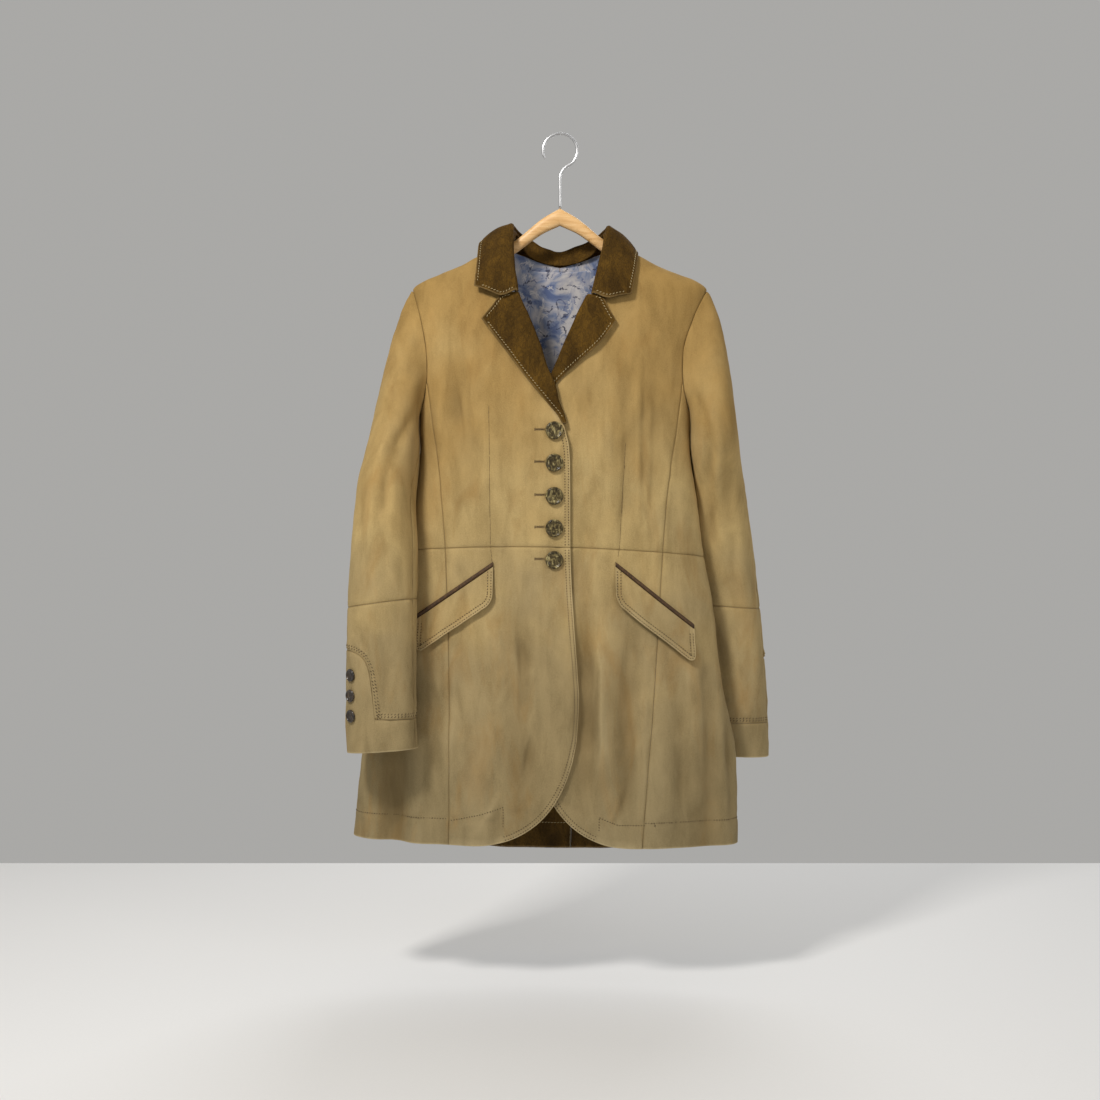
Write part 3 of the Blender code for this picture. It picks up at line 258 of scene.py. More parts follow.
# Grooves and puckers beside each kind of border: height, distance in, reach, and if it ripples.
STITCH_INSETS = (0.0024, 0.007)
BROWN_INSET = 0.0046
HEM_ROW = 0.034
PUCKER = 0.0002
PUCKER_SIZE = 0.01
SEAM_RELIEF = [(-0.0008, 0.0, 0.0019, False), (PUCKER, 0.0, 0.012, True)]
STITCH_RELIEF = (0.6 * PUCKER, 0.0, 0.016, True)
RELIEF = {
    "seam": SEAM_RELIEF,
    "puckered": [(0.0011, 0.006, 0.008, True), *SEAM_RELIEF],
    "stitched": [(-0.0005, inset, 0.0014, False) for inset in STITCH_INSETS] + [STITCH_RELIEF],
    "trimmed": [(-0.0005, BROWN_INSET, 0.0014, False), STITCH_RELIEF],
    "hem": [(0.0006, HEM_ROW, 0.009, True), (-0.0005, HEM_ROW, 0.0016, False)],
}

# Wear of stitched and free edges, and the lift of the front edges.
EDGE_WEAR = 0.0012
EDGE_BAND = 0.0078
BAND_WEAR = 0.3
BAND_POWER = 6
EDGE_LIFT = 0.0012
EDGE_REACH = 0.016
EDGE_FADE = 0.03

# Small unevenness of hung suede, its most, and the height that counts as one step of painted shade and
# highlight.
RUMPLE = 0.00022
RUMPLE_SIZE = 0.014
SWELL = 0.0006
SWELL_SIZE = 0.045
SWELL_STRETCH = (1.0, 1.0, 0.45)
SWELL_SEED = 5
WAVE_COUNT = 8
WAVE_PITCHES = (1.3, 3.2)
MOST_RELIEF = 0.55
PAINTED_SHADE_RISE = 0.004

# Sleeve heads at the armhole, the calm outer side, and the inner side that closes on the body.
ARMHOLE_TUCK = 0.0022
UNDERARM_LIFT = 0.001
CAP_PUFF = 0.0012
CAP_REACH = 0.18
OUTLINE_CALM = 0.8
SIDE_MIDDLE = -0.43
SIDE_REACH = 0.048
SIDE_START = 0.3
SIDE_CLOSE = {-1: 0.0085, 1: 0.0068}
SIDE_ROOM = 0.0012

# Armhole, an upright ellipse on the body's side.
ARMHOLE_MIDDLE = -0.299
ARMHOLE_HALF_HEIGHT = 0.0855
ARMHOLE_HALF_ANGLE = math.radians(26.0)
ARMHOLE_SPLIT = math.radians(118.0)

# Seams between front, side and back panels, as distances from the body's middle.
SEAM_COLUMNS = ("height", "front", "back")
SEAMS = metres(SEAM_COLUMNS, [
    (-339.1, 172, 172), (-400, 164, 156), (-470, 153, 137), (-560, 145.2, 126),
    (-620, 142, 127), (-741, 136, 133), (-1000, 125, 145),
])
BACK_NECK_DROP = 0.035
BACK_NECK_BENDS = ((math.radians(16.0), 0.005), (math.radians(62.0), 0.0205))

# Waist and hem lines.
WAIST = -0.561
WAIST_SIDE_DROP = 0.008
LEAN = 0.02
HEM = -0.955
HEM_BACK_DROP = 0.028

# Centre back seam, by height and turn to one side.
BACK_SEAM = [(ARMHOLE_MIDDLE, 0.0), (WAIST, math.radians(2.0)), (HEM, math.radians(8.0))]

# Front edge and roll line of each front, by height, and the cutaway curve below.
CENTRE_FRONT = -0.008
EDGE_COLUMNS = ("height", "x")
RIGHT_EDGE = metres(EDGE_COLUMNS, [
    (-139.5, -62), (-150, -64), (-169.4, -62.5), (-219.9, -58.7), (-256.8, -43.6),
    (-287.2, -31.7), (-320.2, -21.1), (-344, -10.6), (-366.4, -5.3), (-386.2, 2.6), (-410, 7.4),
    (-425.3, 11.1), (-450.6, 12.8), (-560, 13.5), (-757, 24.7),
])
LEFT_EDGE = metres(EDGE_COLUMNS, [
    (-139.5, 62), (-150, 61), (-164, 55.9), (-199.3, 49.2), (-241.7, 30.4), (-291.2, 8),
    (-322.8, -5.5), (-344, -15), (-386.2, -24), (-450.6, -28.8), (-560, -29.5), (-757, -40.7),
])
ROLL_ROOM = 0.0046
ROLL_FOOT = -0.4065
COLLAR_ROOM = 0.0026
ROLL_FADES = (0.015, 0.02, 0.012)
NOTCH_HEIGHT = -0.235
CUTAWAY_TOP = -0.757
CUTAWAY_WIDTH = 0.143
CUTAWAY_POWER = 2.4
LAP_INSET_TOP = 0.0088
LAP_INSET = 0.0042
LAP_BLEND = 0.07
LAP_TOP = -0.46
LAP_FADE = 0.06

# Sleeves: level rings by height. Each has its middle, half sizes and turn.
RING_COLUMNS = ("height", "centre_x", "centre_y", "half_width", "half_depth", "turn")
RIGHT_RINGS = metres(RING_COLUMNS, [
    (-430, -227, -22, 30.8, 60, 5),
    (-490, -231.2, -52, 34.5, 49, 17),
    (-560, -232, -64, 40.8, 45, 18),
    (-635, -233.6, -71.5, 44.3, 41, 19),
    (-710, -234.5, -73, 46.5, 36, 19),
    (-780, -234.5, -74.5, 47.2, 33, 18),
    (-830, -232.2, -75.5, 47.8, 31, 17),
], ("turn",))
LEFT_RINGS = metres(RING_COLUMNS, [
    (-430, 214, 14, 32, 60, 4),
    (-490, 220.5, 33, 36.2, 50, 12),
    (-560, 227, 44, 40.5, 45, 16),
    (-635, 233, 50, 44, 41, 18),
    (-710, 238.5, 53, 46.2, 36, 18),
    (-780, 243, 57, 47, 33, 18),
    (-853, 245, 60, 47.8, 31, 17),
], ("turn",))
SLEEVE_FLATNESS = 0.8
CAP_TOP_PULL = 0.12
CAP_UNDER_PULL = 0.022
CAP_UNDER = np.array([0.5, 1.0, -0.85])
CAP_OVER = np.array([0.15, 0.0, 0.05])
CAP_SPREAD = 0.25
RING_TOP_PULL = 0.2
RING_UNDER_PULL = 0.045
RING_STEP = 0.01
SLEEVE_COLUMNS = ("elbow", "elbow_lean", "cuff_top", "hem", "hem_lean", "vent_face")
RIGHT_SLEEVE = (-0.634, -0.006, -0.783, -0.826, -0.004, 1)
LEFT_SLEEVE = (-0.642, -0.003, -0.803, -0.85, -0.001, -1)
VENT_RISE = 0.088
VENT_ANGLE = math.radians(94.0)
VENT_POWERS = (5.0, 4.0)

# Lapels: the outer edge as height and x, then the top edge as x and height from gorge to tip.
RIGHT_LAPEL_EDGE = metres(EDGE_COLUMNS, [
    (-258.2, -104.3), (-291.2, -79.2), (-342.6, -40.9), (-373, -15.8), (-387, -4.2),
    (-398.5, 2.4),
])
RIGHT_LAPEL_TOP = [(-0.059, -0.2222), (-0.0779, -0.2292), (-0.1043, -0.2582)]
LEFT_LAPEL_EDGE = metres(EDGE_COLUMNS, [
    (-262.1, 73.9), (-291.2, 52.8), (-320.2, 19.8), (-344, -5), (-348, -8),
])
LEFT_LAPEL_TOP = [(0.04, -0.2262), (0.0548, -0.2312), (0.0739, -0.2621)]
LAPEL_ROWS = 11
LAPEL_DENSITY = 7
LAPEL_SPREAD = 0.04
GORGE_LIFT = (0.0012, 0.0044, 0.0)
LAPEL_LIFT = 0.0036
ROLL_RADIUS = 0.0036
ROLL_NARROW = 0.68
ROLL_TURNS = ((1.2, -1.0), (0.2, -1.0), (-0.55, -0.72), (-0.9, 0.0), (-0.55, 0.72), (0.2, 1.0))

# Collar by stations around the neck: roll line, outer edge, neck seam, and dip at the notch.
COLLAR_COLUMNS = ("roll_x", "roll_y", "roll_z", "edge_x", "edge_y", "edge_z",
                  "seam_x", "seam_y", "seam_z", "dip")
COLLAR = metres(COLLAR_COLUMNS, [
    (-56, -47, -220.5, -115, -46.5, -213, -60, -37, -220.5, 9.7),
    (-62.5, -33, -169.4, -112.5, -34.5, -185.3, -65.5, -21.5, -174.5, 0),
    (-64, -4, -122.5, -108.8, -2, -147.5, -58.5, -1, -137, 0),
    (-48, 29, -134, -83, 50, -164, -43, 20, -161, 0),
    (0, 42, -151, 0, 52, -193, 0, 30, -173, 0),
    (48, 29, -134, 85, 50, -166, 43, 20, -161, 0),
    (64, -4, -126, 106, -4, -161.8, 58.5, -1, -137, 0),
    (55.9, -32, -164, 101, -37, -194.7, 59.5, -20.5, -170, 0),
    (42, -49, -224.5, 95, -49, -224.5, 44, -37.2, -224.5, 6),
])
COLLAR_BOW = 0.003
COLLAR_TURNS = ((-1.0, 0.0), (-0.7, 0.7), (0.0, 1.0), (0.7, 0.7), (1.0, 0.0))
COLLAR_STEPS = 20
COLLAR_DENSITY = 6
FALL_SHARES = (0.36, 0.68, 1.0)
COLLAR_RUMPLE = 0.0006
COLLAR_RUMPLE_START = -0.005
COLLAR_RUMPLE_FADE = 0.03
COLLAR_SEAM_FADE = 5
COLLAR_STRETCH = (1.0, 1.0, 0.5)
COLLAR_SEED = 31

# Pocket flaps and welts, from the inner to the outer top corner.
RIGHT_POCKET = ((-0.0885, -0.5868), (-0.19, -0.656))
LEFT_POCKET = ((0.0725, -0.5868), (0.177, -0.67))
FLAP_DEPTH = 0.047
FLAP_CORNER = 0.012
FLAP_COLUMNS = 10
FLAP_ROWS = 4
FLAP_REST = 0.0009
FLAP_LIFT = 0.003
FLAP_LIFT_POWER = 1.5
WELT_WIDTH = 0.0065
WELT_WALL = 0.003
WELT_RAISE = 0.0004
WELT_DENSITY = 4
WELT_SHARES = ((0.0005, 0.3, 0.7, 1.0), (0.55, 1.0, 1.0, 0.55))

# Lining of the upper back and hem facing of the back skirt.
LINING_HALF_ANGLE = math.radians(40.0)
LINING_BOTTOM = -0.37
LINING_COLUMNS = 96
LINING_ROWS = 72
LINING_TOP_CURVE = 0.011
LINING_TOP_INSET = 0.006
LINING_SLACK = 0.001
LINING_RIPPLES = (23, 3)
FACING_HEIGHT = 0.085
FACING_RAISE = 0.001
INSIDE_GAP = 0.0008
LINING_GAP = 0.002

# Buttons, and their section as shares of the radius: distance from the middle and height.
FRONT_BUTTON_HEIGHTS = (-0.4073, -0.4496, -0.4931, -0.5354, -0.5776)
FRONT_BUTTON_RADIUS = 0.0118
CUFF_BUTTON_HEIGHTS = (-0.727, -0.7535, -0.78)
CUFF_BUTTON_RADIUS = 0.0083
CUFF_BUTTON_ANGLE = math.radians(51.0)
BUTTON_REST = 0.0001
BUTTON_PROFILE = [
    (0.0, 0.0), (0.55, 0.0), (0.82, 0.02), (0.97, 0.1), (1.0, 0.19), (0.97, 0.29), (0.89, 0.355),
    (0.8, 0.33), (0.72, 0.25), (0.55, 0.215), (0.25, 0.225), (0.0, 0.23),
]
BUTTON_DENSITY = 5
BUTTON_SIDES = 48
BUTTON_RELIEF = 0.00012
BUTTON_RELIEF_SIZE = 0.0022
BUTTON_SEED = 7
DISH_SHARE = 0.76
DISH_FADE = 0.001
DISH_HEIGHT = 0.0008

# Hanger bar under the shoulders, and its wire hook with the inside top at the origin.
BAR_TOP = [(0.0, -0.1), (0.022, -0.113)]
BAR_CLEARANCE = 0.0031
BAR_NECK_DROP = 0.0014
BAR_NECK_END = 0.09
BAR_NECK_FADE = 0.02
BAR_END = 0.181
BAR_ROUND = 0.006
BAR_HEIGHT = [(0.0, 0.024), (0.06, 0.018), (0.13, 0.018), (0.181, 0.012)]
BAR_HALF_THICKNESS = 0.0055
BAR_STEPS = 120
BAR_POINTS = 8
RIDGE_STEPS = 60
BAR_SIDES = 28
OVAL_POWER = 0.9
HOOK_INSIDE_RADIUS = 0.0215
HOOK_WIRE_RADIUS = 0.0018
HOOK_TURN = (-48, 208)
HOOK_STEPS = 16
HOOK_STEM = [
    (0.0, 0.0, -0.0997), (0.0, 0.0, -0.074), (0.0, 0.0, -0.058), (0.002, 0.0, -0.051),
    (0.0075, 0.0, -0.044),
]
HOOK_DENSITY = 8
HOOK_SIDES = 18
HOOK_TAPER = 6.0
HOOK_TIP = 0.35

# Kinds of stitch, and the shape of one stitch from end to end.
STITCH_COLUMNS = ("pitch", "length", "radius", "slant", "lift", "jitter")
STITCHES = {
    "pick_pale": (0.0043, 0.0031, 0.0004, 24.0, 0.0001, 0.18),
    "pick_tan": (0.0036, 0.002, 0.00065, 26.0, 0.0, 0.18),
    "pick_back": (0.0036, 0.002, 0.00065, -26.0, 0.0, 0.18),
    "cuff_tan": (0.0044, 0.0032, 0.0005, 48.0, 0.0001, 0.18),
    "slit": (0.013, 0.0128, 0.00042, 0.0, 0.0001, 0.0),
    "bar": (0.005, 0.0046, 0.00045, 0.0, 0.0002, 0.0),
    "whip": (0.0011, 0.0017, 0.00026, 90.0, 0.0002, 0.0),
    "thread_line": (0.006, 0.0066, 0.00022, 0.0, 0.0002, 0.0),
}
STITCH_SIDES = 6
STITCH_SEED = 40
STITCH_SPREAD = (0.85, 1.12)
ROW_STEPS = 160
HEM_STEPS = 90
DART_STEPS = 60
BUTTONHOLE_STEPS = 24
HEM_SHARES = (0.01, 0.99)
CUFF_SHARES = (0.02, 0.98)
STITCH_RINGS = ((-1.0, 0.35, 0.9), (-0.75, 0.85, 0.25), (-0.25, 1.0, 0.0), (0.25, 1.0, 0.0),
                (0.75, 0.85, 0.25), (1.0, 0.35, 0.9))
HEM_ROWS = {
    "right": [(-0.0752, -0.929), (-0.0752, -0.9023), (-0.1043, -0.9115), (-0.145, -0.9205)],
    "left": [(0.0502, -0.934), (0.0502, -0.9155), (0.0766, -0.9261), (0.125, -0.927)],
}
FACING_ROW = 0.036
CUFF_INSETS = (0.0036, 0.0068)
BUTTONHOLE_X = (-0.0335, -0.02)
BUTTONHOLE_RAISE = 0.0015
BUTTONHOLE_HALF = 0.0009
BUTTONHOLE_BAR = 0.0024

# Rows of stitches: piece, border, and the shares of its length where a row starts and ends.
BODICE_ROW = ("bodice_front", "left", 0.64, 0.995)
EDGE_ROWS = [
    ("skirt_front", "left", 0.005, 1.0),
    ("skirt_front", "bottom", 0.0, 0.5),
    ("pocket_flap", "left", 0.14, 1.0),
    ("pocket_flap", "bottom", 0.0, 1.0),
    ("pocket_flap", "right", 0.14, 1.0),
]

# Rows of stitches on brown suede, with the distance from the border and the kind of stitch too.
BROWN_ROWS = [
    ("lapel", "right", BROWN_INSET, 0.04, 0.95, "pick_pale"),
    ("lapel", "bottom", BROWN_INSET, 0.46, 0.94, "pick_pale"),
    ("hem_facing", "bottom", FACING_ROW, *HEM_SHARES, "pick_pale"),
]
SINGLE_ROWS = [
    ("hem_facing_right", "left", 0.0012, 0.0, 1.0, "thread_line"),
    ("collar", "right", BROWN_INSET, 0.014, 0.986, "pick_pale"),
    ("collar", "top", BROWN_INSET, 0.42, 0.9, "pick_pale"),
    ("collar", "bottom", BROWN_INSET, 0.42, 0.9, "pick_pale"),
]

# Camera, lights and floor.
CAMERA_X = -0.0136
CAMERA_HEIGHT = -0.5644
CAMERA_DISTANCE = 2.0
SENSOR_WIDTH = 36.0
FRAME_WIDTH = 1.496
LIGHT_TARGET = (0.0, 0.0, -0.55)
LIGHTS = [
    ("key", (-0.85, -1.3, 0.85), 0.35, 31.0, (1.0, 0.975, 0.94)),
    ("fill", (1.5, -2.0, 0.2), 1.0, 10.0, (1.0, 0.98, 0.95)),
    ("back", (0.4, 1.6, 0.7), 1.4, 20.0, (0.95, 0.97, 1.0)),
]
ROOM = (0.8, 0.79, 0.765)
ROOM_STRENGTH = 0.5
FLOOR_HEIGHT = -1.15
FLOOR_X = 2.4
FLOOR_NEAR = -0.9
FLOOR_FAR = 0.75


# Noises of the suede: bumps per metre, detail, roughness and distortion.
BLOTCHES = (8.0, 3.0, 0.55, 0.0)
STREAKS = (24.0, 4.0, 0.6, 0.6)
MOTTLE = (45.0, 4.0, 0.55, 0.4)
NAP = (780.0, 4.0, 0.75, 0.0)
WRINKLES = (190.0, 3.0, 0.65, 0.7)

# How the noises of the suede mix: shares, or a start, an end and the most.
BLOTCH_SHARE = 0.55
STREAK_SPAN = (0.52, 0.74, 0.55)
WRINKLE_WIDTH = 0.05
NAP_SHARE = 0.45
MOTTLE_SHARE = 0.55
RUBBED = (0.8, 0.15)
# Painted shade in hollows and painted highlight on ridges, by the rise attribute: a start, an end and the
# most.
PAINTED_HOLLOW_SHADE_SPAN = (-0.2, -2.4, 0.42)
PAINTED_RIDGE_HIGHLIGHT_SPAN = (0.2, 2.2, 0.2)
SUEDE_ROUGHNESS = (0.2, 0.76)
MOTTLE_RELIEF = 0.8

# Print of the lining: its cells, flowers and sprigs in shares of their size, wash and weave.
CELL_CHANCE = 0.8
FULL_TURN = 6.283
PETALS = 5.0
PETAL_DEPTH = 0.4
LEAF_BEAT = 6.5
SPRIG_LENGTH = 1.25
SPRIG_TIP = -0.2
LEAF_WIDTH = 0.2
STEM_WIDTH = 0.05
WASH = (34.0, 4.0, 0.6, 0.8)
PRINT_FADE = (0.6, 0.5)
LINING_ROUGHNESS = (0.15, 0.42)
WEAVE = {"Scale": 900.0, "Distortion": 1.5, "Detail": 2.0}
WEAVE_DEPTH = 0.00008


class Look:
    """Principled material, with its constant settings on the shader's own sockets."""

    def __init__(self, name, **settings):
        self.material = bpy.data.materials.new(name)
        self.material.use_nodes = True
        self.tree = self.material.node_tree
        self.shader = self.tree.nodes["Principled BSDF"]
        for key, value in settings.items():
            self.fill(self.shader.inputs[key.replace("_", " ")], value)

    def fill(self, socket, value):
        """Link another socket to this one, or set its colour, vector or number."""
        if isinstance(value, bpy.types.NodeSocket):
            self.tree.links.new(value, socket)
        elif socket.type == "RGBA":
            socket.default_value = (*value, 1.0)
        else:
            socket.default_value = value

    def add(self, kind, inputs=None, **settings):
        """Add a node with its settings and inputs."""
        node = self.tree.nodes.new(f"ShaderNode{kind}")
        for key, value in settings.items():
            setattr(node, key, value)
        for key, value in (inputs or {}).items():
            self.fill(node.inputs[key], value)
        return node

    def place(self, stretch=(1.0, 1.0, 1.0)):
        """Place on the coat in metres, stretched along its axes."""
        where = self.add("TexCoord").outputs["Object"]
        return self.add("Mapping", {"Vector": where, "Scale": stretch}).outputs["Vector"]

    def noise(self, where, scale, detail, roughness, distortion):
        """Noise from 0 to 1 at a scale in bumps per metre."""
        inputs = {"Vector": where, "Scale": scale, "Detail": detail, "Roughness": roughness}
        return self.add("TexNoise", {**inputs, "Distortion": distortion}).outputs["Fac"]

    def maths(self, operation, *values):
        """One sum of sockets or numbers."""
        return self.add("Math", dict(enumerate(values)), operation=operation).outputs["Value"]

    def vector(self, operation, inputs):
        """One sum of vectors."""
        return self.add("VectorMath", inputs, operation=operation).outputs["Vector"]

    def span(self, value, start, end, most=1.0):
        """Share from 0 to the most, as a value goes from start to end."""
        inputs = {"Value": value, "From Min": start, "From Max": end, "To Max": most}
        return self.add("MapRange", inputs).outputs["Result"]

    def ramp(self, factor, stops):
        """Colours along a factor, from a list of place and colour."""
        node = self.add("ValToRGB", {"Fac": factor})
        while len(node.color_ramp.elements) < len(stops):
            node.color_ramp.elements.new(0.5)
        for element, (at, colour) in zip(node.color_ramp.elements, stops):
            element.position = at
            element.color = (*colour, 1.0)
        return node.outputs["Color"]

    def blend(self, factor, first, second, how="MIX"):
        """Mix two colours by a factor."""
        inputs = {0: factor, 6: first, 7: second}
        return self.add("Mix", inputs, data_type="RGBA", blend_type=how).outputs[2]

    def finish(self, colour, roughness, height, distance):
        """Give the shader its colour, roughness and bump."""
        bump = self.add("Bump", {"Height": height, "Strength": 1.0, "Distance": distance})
        values = {"Base Color": colour, "Roughness": roughness, "Normal": bump.outputs["Normal"]}
        for key, value in values.items():
            self.fill(self.shader.inputs[key], value)
        return self.material


def suede(name, levels, tints, shades, streak, nap_depth, sheen, crackle):
    """Napped leather with blotches, streaks, a fine nap, pale worn edges, painted shade in hollows and
    painted highlight on ridges.
    """
    pale, dark, ruddy = tints
    look = Look(name, Sheen_Weight=sheen, Sheen_Roughness=0.5, Sheen_Tint=pale, Specular_IOR_Level=0.12)
    even = look.place()
    drawn = look.place((1.0, 1.0, streak))
    blotch = look.noise(even, *BLOTCHES)
    streaks = look.noise(drawn, *STREAKS)
    mottle = look.noise(drawn, *MOTTLE)
    nap = look.noise(even, *NAP)
    wrinkle = look.maths("SUBTRACT", look.noise(drawn, *WRINKLES), 0.5)
    wrinkle = look.span(look.maths("ABSOLUTE", wrinkle), 0.0, WRINKLE_WIDTH)
    level = look.span(look.add("SeparateXYZ", {"Vector": even}).outputs["Z"], *SUEDE_HEIGHTS)
    level = look.maths("MULTIPLY_ADD", look.maths("SUBTRACT", blotch, 0.5), BLOTCH_SHARE, level)
    colour = look.blend(look.span(streaks, *STREAK_SPAN), look.ramp(level, levels), ruddy)
    grain = look.maths("MULTIPLY", mottle, MOTTLE_SHARE)
    grain = look.maths("MULTIPLY_ADD", nap, NAP_SHARE, grain)
    colour = look.blend(1.0, colour, look.ramp(grain, shades), "MULTIPLY")
    crack = look.maths("MULTIPLY", look.maths("SUBTRACT", 1.0, wrinkle), crackle)
    colour = look.blend(crack, colour, dark)
    wear = look.add("Attribute", attribute_name="wear").outputs["Fac"]
    rubbed = look.maths("MULTIPLY", wear, look.maths("MULTIPLY_ADD", mottle, *RUBBED))
    colour = look.blend(rubbed, colour, pale)
    # Painted shade in hollows of folds and seams with the dark tint, and painted highlight on ridges with
    # the pale tint, from the rise attribute.
    rise = look.add("Attribute", attribute_name="rise").outputs["Fac"]
    colour = look.blend(look.span(rise, *PAINTED_HOLLOW_SHADE_SPAN), colour, dark)
    colour = look.blend(look.span(rise, *PAINTED_RIDGE_HIGHLIGHT_SPAN), colour, pale)
    roughness = look.maths("MULTIPLY_ADD", nap, *SUEDE_ROUGHNESS)
    relief = look.maths("MULTIPLY_ADD", mottle, MOTTLE_RELIEF, nap)
    relief = look.maths("MULTIPLY_ADD", wrinkle, crackle, relief)
    return look.finish(colour, roughness, relief, nap_depth)


def cell_places(look, where):
    """Place in each cell of a scattered repeat: distance from its middle, and turn."""
    inputs = {"Vector": where, "Scale": 1.0, "Randomness": CELL_CHANCE}
    cells = look.add("TexVoronoi", inputs, voronoi_dimensions="2D").outputs
    offset = look.vector("SUBTRACT", {0: where, 1: cells["Position"]})
    split = look.add("SeparateXYZ", {"Vector": offset}).outputs
    turn = look.maths("ARCTAN2", split["Y"], split["X"])
    chance = look.add("SeparateColor", {"Color": cells["Color"]}).outputs["Red"]
    return cells["Distance"], look.maths("MULTIPLY_ADD", chance, FULL_TURN, turn)


def flower(look, where, size):
    """Mask of one five petalled flower in each cell."""
    reach, turn = cell_places(look, where)
    lobes = look.maths("COSINE", look.maths("MULTIPLY", turn, PETALS))
    petals = look.maths("MULTIPLY_ADD", lobes, PETAL_DEPTH * size, size)
    return look.span(look.maths("SUBTRACT", petals, reach), 0.0, MOTIF_EDGE)


def sprig(look, where, size):
    """Mask of one stem with paired leaves in each cell."""
    reach, turn = cell_places(look, where)
    along = look.maths("MULTIPLY", reach, look.maths("COSINE", turn))
    across = look.maths("ABSOLUTE", look.maths("MULTIPLY", reach, look.maths("SINE", turn)))
    beat = look.maths("MULTIPLY", along, LEAF_BEAT / size)
    leaves = look.maths("ABSOLUTE", look.maths("SINE", beat))
    taper = look.maths("ABSOLUTE", look.maths("DIVIDE", along, SPRIG_LENGTH * size))
    taper = look.maths("MAXIMUM", look.maths("SUBTRACT", 1.0, taper), SPRIG_TIP)
    width = look.maths("MULTIPLY_ADD", leaves, LEAF_WIDTH * size, STEM_WIDTH * size)
    width = look.maths("MULTIPLY", width, taper)
    return look.span(look.maths("SUBTRACT", width, across), 0.0, MOTIF_EDGE)


def printed_lining(name):
    """Lining cloth with watery blue patches and scattered sprigs and flowers."""
    look = Look(name, Sheen_Weight=0.15, Specular_IOR_Level=0.35)
    where = look.place()
    split = look.add("SeparateXYZ", {"Vector": where}).outputs
    flat = look.add("CombineXYZ", {"X": split["X"], "Y": split["Z"]}).outputs["Vector"]
    wash = look.noise(where, *WASH)
    sway = look.add("TexNoise", {"Vector": where, "Scale": LINING_SWAY_SCALE}).outputs["Color"]
    flat = look.vector("ADD", {0: flat, 1: look.vector("SCALE", {0: sway, "Scale": LINING_SWAY})})
    colour = look.ramp(wash, LINING_WASH)
    fade = look.maths("MULTIPLY_ADD", wash, *PRINT_FADE)
    for shape, scale, size, shift, tint in LINING_MOTIFS:
        grid = look.vector("SCALE", {0: flat, "Scale": scale})
        mask = shape(look, look.vector("ADD", {0: grid, 1: (shift, 0.3 * shift, 0.0)}), size)
        colour = look.blend(look.maths("MULTIPLY", mask, fade), colour, tint)
    roughness = look.maths("MULTIPLY_ADD", wash, *LINING_ROUGHNESS)
    weave = look.add("TexWave", {"Vector": where, **WEAVE})
    return look.finish(colour, roughness, weave.outputs["Fac"], WEAVE_DEPTH)


def mottled(name, stops, scale, stretch, roughness, spread, depth, distortion=0.0, **settings):
    """Material whose colour, roughness and bump follow one stretched noise."""
    look = Look(name, **settings)
    grain = look.noise(look.place(stretch), scale, 6.0, 0.6, distortion)
    rough = look.maths("MULTIPLY_ADD", grain, spread, roughness)
    return look.finish(look.ramp(grain, stops), rough, grain, depth)


# Colours of the materials by place along a noise or height. Tints are pale, dark and ruddy.
# Tan by height runs darker and greyer towards the hem, palest at the waist and more orange on the chest.
TAN_LEVELS = [
    (0.05, (0.285, 0.219, 0.111)), (0.32, (0.385, 0.288, 0.141)), (0.52, (0.51, 0.368, 0.16)),
    (0.8, (0.405, 0.259, 0.09)), (0.96, (0.365, 0.225, 0.071)),
]
TAN_TINTS = ((0.6, 0.48, 0.27), (0.16, 0.103, 0.038), (0.33, 0.185, 0.055))
TAN_SHADES = [(0.38, (0.7, 0.69, 0.66)), (0.5, (0.88, 0.88, 0.87)), (0.62, (1.02, 1.02, 1.02))]
BROWN_LEVELS = [(0.2, (0.115, 0.062, 0.011)), (0.8, (0.12, 0.061, 0.008))]
BROWN_SHADES = [(0.38, (0.36, 0.35, 0.32)), (0.5, (0.74, 0.74, 0.74)), (0.62, (1.08, 1.08, 1.08))]
BROWN_TINTS = ((0.3, 0.2, 0.08), (0.05, 0.026, 0.006), (0.075, 0.036, 0.006))
SUEDE_HEIGHTS = (-0.98, -0.14)
DARK = [(0.3, (0.03, 0.013, 0.004)), (0.5, (0.062, 0.03, 0.01)), (0.68, (0.12, 0.064, 0.022))]
HORN = [(0.38, (0.026, 0.018, 0.006)), (0.5, (0.07, 0.05, 0.017)), (0.57, (0.16, 0.122, 0.046)),
        (0.66, (0.42, 0.35, 0.16))]
HORN_DARK = [(0.4, (0.008, 0.005, 0.003)), (0.54, (0.026, 0.015, 0.007)), (0.66, (0.085, 0.055, 0.026))]
PINE = [(0.3, (0.55, 0.3, 0.1)), (0.5, (0.7, 0.42, 0.17)), (0.7, (0.78, 0.52, 0.25))]
STEEL = [(0.3, (0.5, 0.5, 0.51)), (0.7, (0.72, 0.72, 0.73))]
PALE_THREAD = [(0.3, (0.34, 0.26, 0.12)), (0.7, (0.56, 0.46, 0.26))]
TAN_THREAD = [(0.3, (0.05, 0.03, 0.011)), (0.7, (0.11, 0.068, 0.026))]
FLOOR = [(0.3, (0.745, 0.74, 0.73)), (0.7, (0.76, 0.755, 0.745))]
LINING_WASH = [(0.38, (0.11, 0.15, 0.29)), (0.46, (0.24, 0.28, 0.4)), (0.54, (0.44, 0.43, 0.47)),
               (0.62, (0.58, 0.55, 0.54))]
LINING_SWAY = 0.03
LINING_SWAY_SCALE = 55.0
MOTIF_EDGE = 0.03
LINING_MOTIFS = [
    (sprig, 60.0, 0.36, 2.9, (0.1, 0.125, 0.25)),
    (flower, 48.0, 0.19, 0.4, (0.62, 0.59, 0.58)),
    (sprig, 44.0, 0.42, 1.7, (0.028, 0.034, 0.08)),
]
EVEN = (1.0, 1.0, 1.0)
DRAWN = (1.0, 1.0, 0.6)
PINE_DRAWN = (0.08, 1.0, 1.0)
WIRE_DRAWN = (1.0, 1.0, 0.2)

